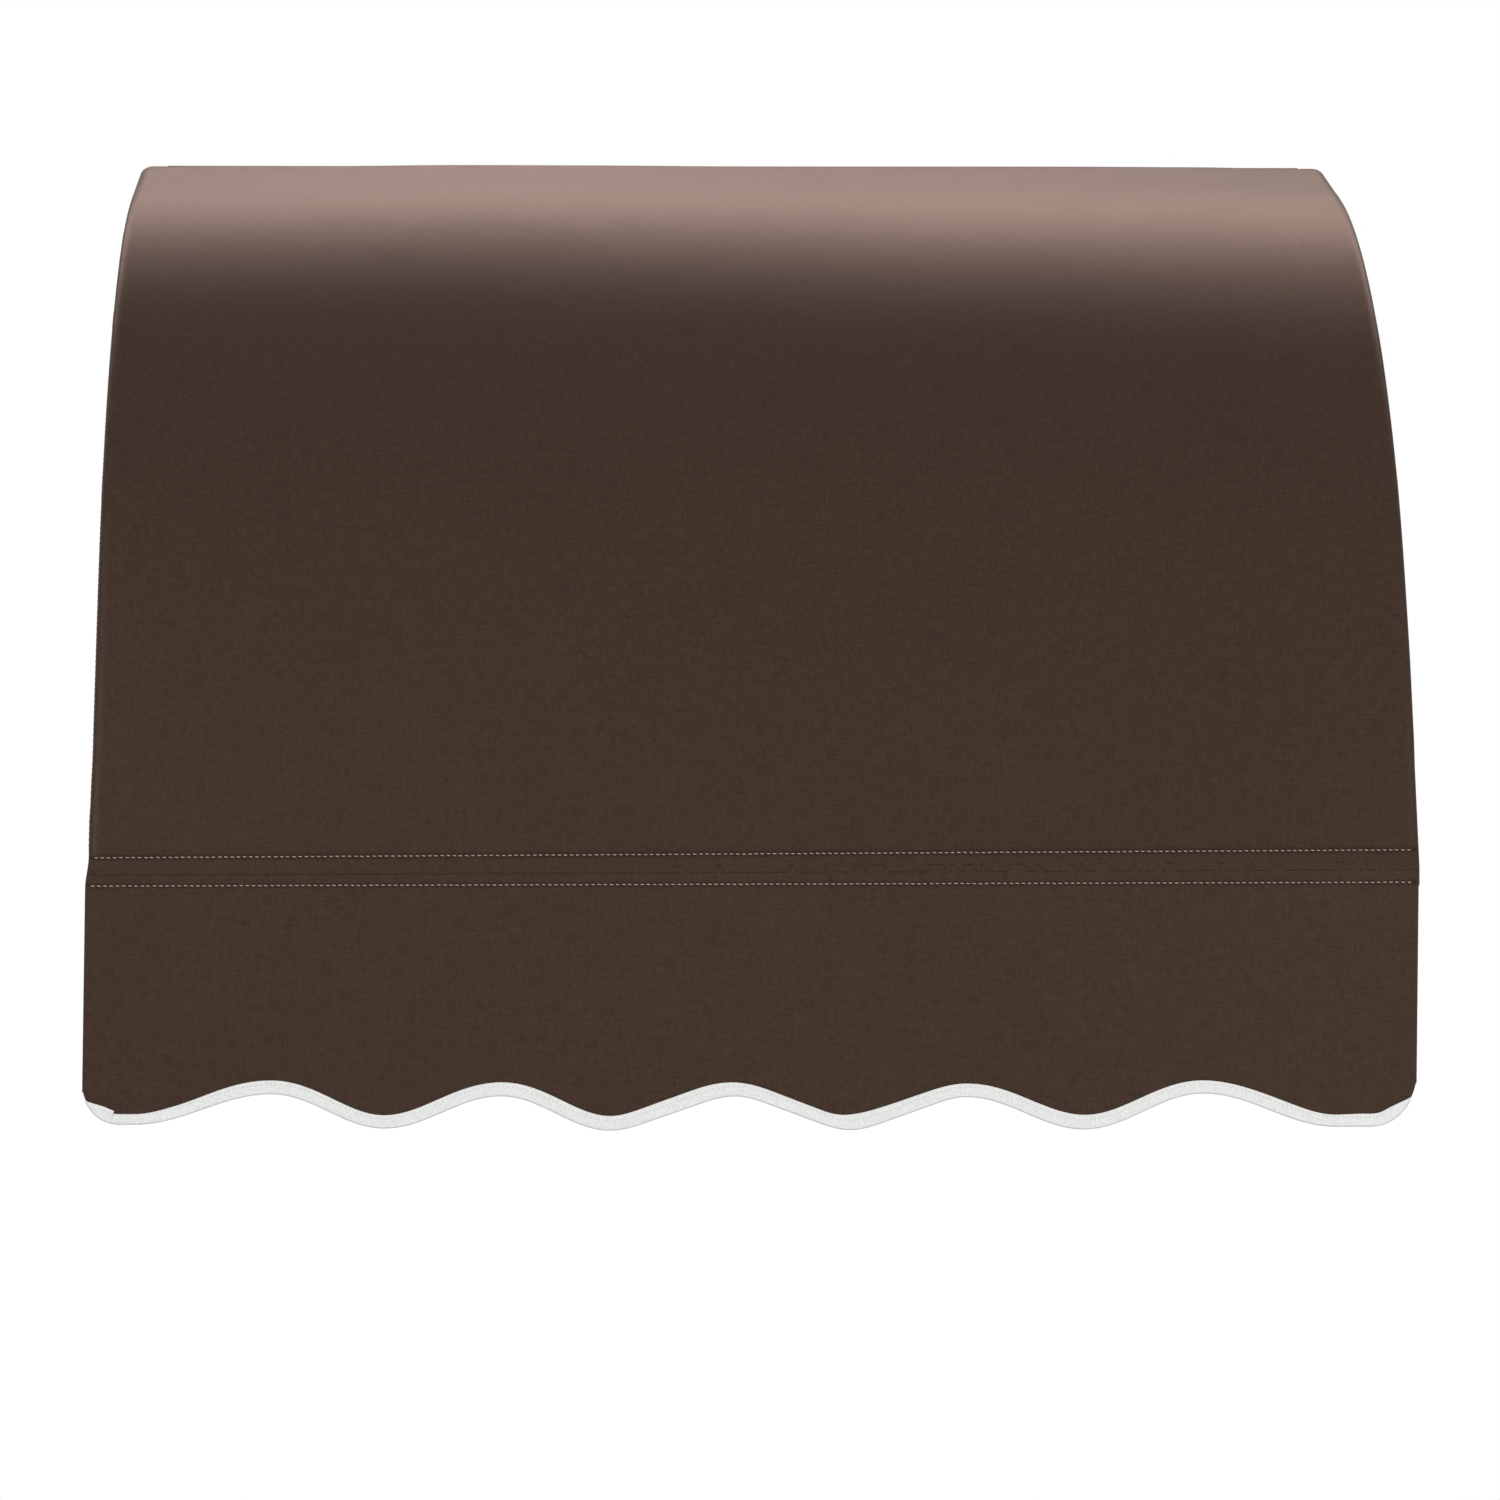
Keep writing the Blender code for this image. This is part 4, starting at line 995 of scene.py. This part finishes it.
def make_sleeve(frame, finishes):
    """Pocket strip that holds the front bar, caught by both rows of stitching."""
    radius = frame.tube + SLEEVE_LOOSE
    tab = frame.tube - SLEEVE_TAB
    bar = frame.bar
    reach = UPPER_ROW + SLEEVE_PAST_ROW - radius
    upper_fold = bar + outward(FOOT) * tab - along(FOOT) * radius
    lower_fold = bar + outward(LEVEL) * tab + along(LEVEL) * radius
    path = [upper_fold - along(FOOT) * reach, upper_fold - along(FOOT) * reach * 0.5, upper_fold]
    path += [bar + Vector((cos(angle), sin(angle))) * radius for angle in evenly(FOOT, -LEVEL, SLEEVE_STEPS)]
    path += [lower_fold, lower_fold + along(LEVEL) * reach * 0.5, lower_fold + along(LEVEL) * reach]
    path = chaikin(path)
    rows = []
    runs = runs_along(path)
    for spot, run in zip(path, runs):
        away = spot - bar
        row = []
        for x in spread(frame.sleeve_half, SLEEVE_ACROSS):
            slack = SLEEVE_SLACK * (1 + wander(x * 9.0, run * 40.0, 5.0)) * smooth(away.x / SLEEVE_BAGGED)
            row.append((at(x, spot + away.normalized() * slack), (x, run)))
        rows.append(row)
    sleeve = sheet("bar_sleeve_cloth", rows, finishes["brown_canvas"], CANVAS)
    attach(sleeve, "root")
    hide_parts("bar_sleeve")

    places = []
    count = int(2 * (frame.sleeve_half - SLEEVE_END) / STITCH_PITCH)
    for slope, side in ((FOOT, -1), (LEVEL, 1)):
        beyond = side * (radius + reach * SLEEVE_ROW)
        level = bar + outward(slope) * (tab - CANVAS / 2) + along(slope) * beyond
        for k in range(count):
            x = -frame.sleeve_half + SLEEVE_END + STITCH_PITCH * (k + 0.5)
            places.append((at(x, level), Vector((1, 0, 0)), at(0, -outward(slope))))
    inside = stitches("sleeve_stitches", places, THREAD, STITCH_LENGTH, finishes["tan_thread"], STITCH_TILT)
    return sleeve, inside, runs[-1]


def make_hem_stitches(frame, line, finish):
    """The row that holds each side hem's second layer, on the rafter's outer side."""
    length = runs_along([point for point, _ in line])[-1]
    made = []
    for side, hand in SIDES:
        places = []
        for k in range(int((length - HEM_STITCHES_SHORT) / STITCH_PITCH)):
            run = HEM_STITCHES_FROM + k * STITCH_PITCH
            station = line_at(line, run)
            middle, out = hem_surface(frame, hand, station, HEM_STITCHES_AT, run)
            places.append((middle + out * (HEM / 2 - STITCH_PROUD), at(0, along(station[1])), out))
        made.append(stitches(f"hem_stitches_{side}", places, HEM_THREAD, STITCH_LENGTH, finish))
    return made


def strap_path(radius, tab):
    """The strap's middle line round a rafter, from the hem to the end of its tab."""
    path = []
    for angle, phase in zip(evenly(*STRAP_ROUND, STRAP_STEPS), evenly(0.0, pi, STRAP_STEPS)):
        swollen = radius + STRAP_SWELL * sin(phase)
        path.append(Vector((swollen * sin(angle), swollen * cos(angle))))
    path += [Vector((-radius - inward, tab + up)) for inward, up in STRAP_TAB]
    return chaikin(path, 1)


def make_strap(frame, line, side, hand, number, finishes):
    """Webbing loop from the hem, under the rafter, to a tab sewn under the cloth."""
    low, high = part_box(f"hem_strap_{side}_{number}")
    middle_y = (low.y + high.y) / 2
    point, slope = min(line, key=lambda pair: abs(pair[0].x - middle_y))
    down_slope, across_slope = at(0, along(slope)), at(0, outward(slope))
    radius = frame.tube + STRAP_CLEAR + STRAP_THICKNESS / 2 + STRAP_LOOSE
    tab = frame.tube - STRAP_CLEAR - STRAP_THICKNESS / 2
    path = strap_path(radius, tab)
    rows = []
    for spot, run in zip(path, runs_along(path)):
        row = []
        for step in range(STRAP_ACROSS + 1):
            offset = STRAP_WIDTH * (step / STRAP_ACROSS - 0.5)
            origin = at(hand * frame.rafter_x, point + along(slope) * offset)
            row.append((origin + Vector((hand, 0, 0)) * spot.x + across_slope * spot.y, (run, offset)))
        rows.append(row)
    strap = sheet(f"hem_strap_webbing_{side}_{number}", rows, finishes["black_webbing"], STRAP_THICKNESS)
    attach(strap, "root")
    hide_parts(f"hem_strap_{side}_{number}")

    inner, outer = -radius - TACK_INNER, -radius - TACK_OUTER
    tacks = []
    for across in (inner, outer):
        for k in range(TACKS_ACROSS):
            tacks.append((across, ((k + 0.5) / TACKS_ACROSS - 0.5) * 2 * TACK_EDGE, down_slope))
    for edge in (-TACK_EDGE, TACK_EDGE):
        for k in range(TACKS_ALONG):
            tacks.append((inner + (outer - inner) * (k + 0.5) / TACKS_ALONG, edge, Vector((hand, 0, 0))))
    places = []
    for across, share, run in tacks:
        place = point + along(slope) * (STRAP_WIDTH * share) + outward(slope) * (tab - STRAP_THICKNESS / 2)
        places.append((at(hand * (frame.rafter_x + across), place), run, -across_slope))
    for k in range(ZIGZAG):
        offset = STRAP_WIDTH * ((k + 0.5) / ZIGZAG - 0.5) * ZIGZAG_SHARE
        spot, out = hem_surface(frame, hand, (point, slope), ZIGZAG_AT, 1.0, offset)
        zigzag = down_slope + out.cross(down_slope) * (ZIGZAG_LEAN if k % 2 else -ZIGZAG_LEAN)
        places.append((spot + out * (HEM / 2), zigzag.normalized(), out))
    name = f"strap_stitches_{side}_{number}"
    tack = stitches(name, places, TACK_THREAD, TACK_LENGTH, finishes["tan_thread"])
    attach(tack, "root")
    return strap, tack


def recess_ring(builder, narrow, wide, z):
    """Vertices round the screw's cross recess at one height."""
    folds = [abs(cos(2 * TURN * k / SCREW_SIDES)) ** RECESS_FOLD for k in range(SCREW_SIDES)]
    return ring(builder, [narrow + (wide - narrow) * fold for fold in folds], z)


def screw_mesh(tail, finish):
    """A pan-head screw along +Z with a cross recess and a thread, its seat at the origin."""
    builder = bmesh.new()
    top = SCREW_HEAD_HEIGHT
    rings = [ring(builder, [SCREW_HEAD * share] * SCREW_SIDES, top - depth) for share, depth in PAN_HEAD]
    for step, z in enumerate(evenly(0.0, tail + SCREW_POINT, SCREW_STEPS)):
        radii = []
        for k in range(SCREW_SIDES):
            phase = (z / SCREW_PITCH + k / SCREW_SIDES) % 1.0
            crest = max(0.0, 1 - abs(phase - 0.5) * SCREW_CREST_SHARP)
            radii.append(SCREW_SHANK * (SCREW_CORE + SCREW_CREST * crest * smooth(step / SCREW_LEAD)))
        rings.append(ring(builder, radii, z))
    rings.append(ring(builder, [SCREW_SHANK * SCREW_TIP] * SCREW_SIDES, tail))
    join_rings(builder, rings)
    builder.faces.new(rings[-1][::-1])
    bottom = recess_ring(builder, RECESS_SLOT, RECESS_ARM * RECESS_BOTTOM, top - RECESS_DEPTH)
    lip = recess_ring(builder, RECESS_SLOT * RECESS_MOUTH, RECESS_ARM, top)
    join_rings(builder, (rings[0], lip, bottom))
    builder.faces.new(bottom)
    return own_object("screw_pattern", builder, finish, SCREW_SHARP)


def make_screws(cad, finish):
    """Every screw, where the frame has it, with its head facing its own way."""
    for side, hand in SIDES:
        aims = {
            "rafter_head": at(0, -outward(HEAD)),
            "rafter_foot": at(0, -outward(FOOT)),
            "front_bar": Vector((0, 1, 0)),
            "rail": Vector((0, 0, -1)),
            "side_bar_front": Vector((-hand, 0, 0)),
            "side_bar_back": Vector((-hand, 0, 0)),
            "purlin": Vector((hand, 0, 0)),
        }
        for name, away in aims.items():
            node = f"screw_{name}_{side}"
            points = [vertex.co for vertex in cad[node].data.vertices]
            heights = [point.dot(away) for point in points]
            tail, top = min(heights), max(heights)
            rim = [point for point, height in zip(points, heights) if height > top - RIM]
            seat = sum(rim, Vector()) / len(rim) - away * SCREW_HEAD_HEIGHT
            turn = away.to_track_quat("Z", "Y").to_matrix().to_4x4()
            screw = screw_mesh(-(top - tail - SCREW_HEAD_HEIGHT), finish)
            screw.data.transform(Matrix.Translation(seat) @ turn)
            screw.name = f"{node}_detailed"
            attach(screw, "root")
            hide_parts(node)


def smoothing_group():
    """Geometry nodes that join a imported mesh's triangles and shade its round faces smooth."""
    group = bpy.data.node_groups.new("join_and_smooth", "GeometryNodeTree")
    for way in ("INPUT", "OUTPUT"):
        group.interface.new_socket("Geometry", in_out=way, socket_type="NodeSocketGeometry")
    graph = Graph(group)
    mesh = graph.node("NodeGroupInput")
    for name in ("custom_normal", "sharp_face", "sharp_edge"):
        mesh = graph.node("GeometryNodeRemoveAttribute", None, {"Geometry": mesh, "Name": name})
    mesh = graph.node("GeometryNodeMergeByDistance", None, {"Geometry": mesh, "Distance": JOIN_DISTANCE})
    mesh = graph.node("GeometryNodeSetShadeSmooth", {"domain": "FACE"}, {"Geometry": mesh})
    angle = graph.node("GeometryNodeInputMeshEdgeAngle")
    sharp = graph.node("FunctionNodeCompare", {"operation": "GREATER_THAN"}, {"A": angle, "B": SHARP_ANGLE})
    sockets = {"Geometry": mesh, "Selection": sharp, "Shade Smooth": False}
    mesh = graph.node("GeometryNodeSetShadeSmooth", {"domain": "EDGE"}, sockets)
    graph.node("NodeGroupOutput", None, {"Geometry": mesh})
    return group


def finish_frame(cad, finishes):
    """Materials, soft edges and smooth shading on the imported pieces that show."""
    group = smoothing_group()
    for name, node in cad.items():
        slot = node.material_slots[0].material.name
        if slot not in finishes or node.hide_render:
            continue
        for holder in node.material_slots:
            holder.material = finishes[slot]
        node.modifiers.new("join_and_smooth", "NODES").node_group = group
        if slot in SOFT_EDGES and not name.startswith("head_corner"):
            bevel = node.modifiers.new("soft_edges", "BEVEL")
            bevel.width = SOFT_EDGES[slot]
            bevel.segments = 2
            bevel.limit_method = "ANGLE"
            bevel.angle_limit = SHARP_ANGLE
            bevel.harden_normals = True


def area_light(name, place, aim, size, power, colour):
    """A soft lamp that looks at a point."""
    lamp = bpy.data.lights.new(name, "AREA")
    lamp.color = colour
    lamp.shape = "RECTANGLE"
    lamp.size, lamp.size_y = size
    lamp.energy = power
    holder = new_object(name, lamp)
    holder.location = place
    holder.rotation_euler = (Vector(aim) - Vector(place)).to_track_quat("-Z", "Y").to_euler()


def make_studio(frame):
    """Pale floor, soft lamps and a white surround."""
    builder = bmesh.new()
    bmesh.ops.create_circle(builder, cap_ends=True, segments=96, radius=FLOOR_RADIUS)
    floor = own_object("floor", builder, floor_material())
    floor.location = (0, 0, frame.braid_low - FLOOR_BELOW)

    world = bpy.data.worlds.new("surround")
    bpy.context.scene.world = world
    world.use_nodes = True
    graph = Graph(world.node_tree)
    camera_ray = graph.node("ShaderNodeLightPath", output="Is Camera Ray")
    strength = SURROUND_LIGHT + (1 - SURROUND_LIGHT) * camera_ray
    sky = graph.node("ShaderNodeBackground", None, {"Color": WHITE, "Strength": strength})
    graph.node("ShaderNodeOutputWorld", None, {"Surface": sky})
    for lamp in LAMPS:
        area_light(*lamp)


def make_camera():
    """The camera that took the picture, as well as its perspective tells."""
    level = cos(CAMERA_PITCH)
    forward = Vector((sin(CAMERA_YAW) * level, cos(CAMERA_YAW) * level, sin(CAMERA_PITCH)))
    lens = bpy.data.cameras.new("camera")
    lens.sensor_width = SENSOR
    lens.lens = LENS
    camera = new_object("camera", lens)
    aim = forward.to_track_quat("-Z", "Y").to_matrix().to_4x4()
    camera.matrix_world = Matrix.Translation(CAMERA_PLACE) @ aim @ Matrix.Rotation(CAMERA_ROLL, 4, "Z")
    bpy.context.scene.camera = camera


def ride_all(pieces):
    """Fixes small pieces that replace nothing."""
    for piece in pieces:
        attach(piece, "root")


def main():
    for thing in list(bpy.data.objects):
        bpy.data.objects.remove(thing, do_unlink=True)
    bpy.context.scene.view_settings.view_transform = "Standard"
    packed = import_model()
    cad = packed["nodes"]
    frame = Frame()
    finishes = make_materials()
    make_camera()

    line = roof_line(frame)
    canopy, canopy_run = make_canopy(frame, line, finishes["brown_canvas"])
    rear_edge = make_rear_edge(frame, line, finishes["brown_canvas"])
    valance = make_valance(frame, finishes["seamed_canvas"])

    outline = braid_outline(frame)
    braid = make_braid(frame, "valance_braid_woven", outline, finishes["white_braid"])
    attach(braid, "root")
    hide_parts("valance_braid")
    lapped = [(x, z, width * BRAID_LAP_SHARE) for x, z, width in outline if x < BRAID_LAP_END]
    lap = make_braid(frame, "valance_braid_lap", lapped, finishes["white_braid"], BRAID_LAP_PROUD)
    ride_all([lap])

    seam = make_seam_stitches(frame, finishes["tan_thread"])
    hem = make_hem_stitches(frame, line, finishes["tan_thread"])
    ride_all(seam + hem)
    sleeve, inside, sleeve_run = make_sleeve(frame, finishes)
    ride_all([inside])
    straps = []
    for side, hand in SIDES:
        for number in (1, 2, 3):
            straps += make_strap(frame, line, side, hand, number, finishes)

    make_screws(cad, finishes["zinc_screw"])
    finish_frame(cad, finishes)
    make_studio(frame)


main()
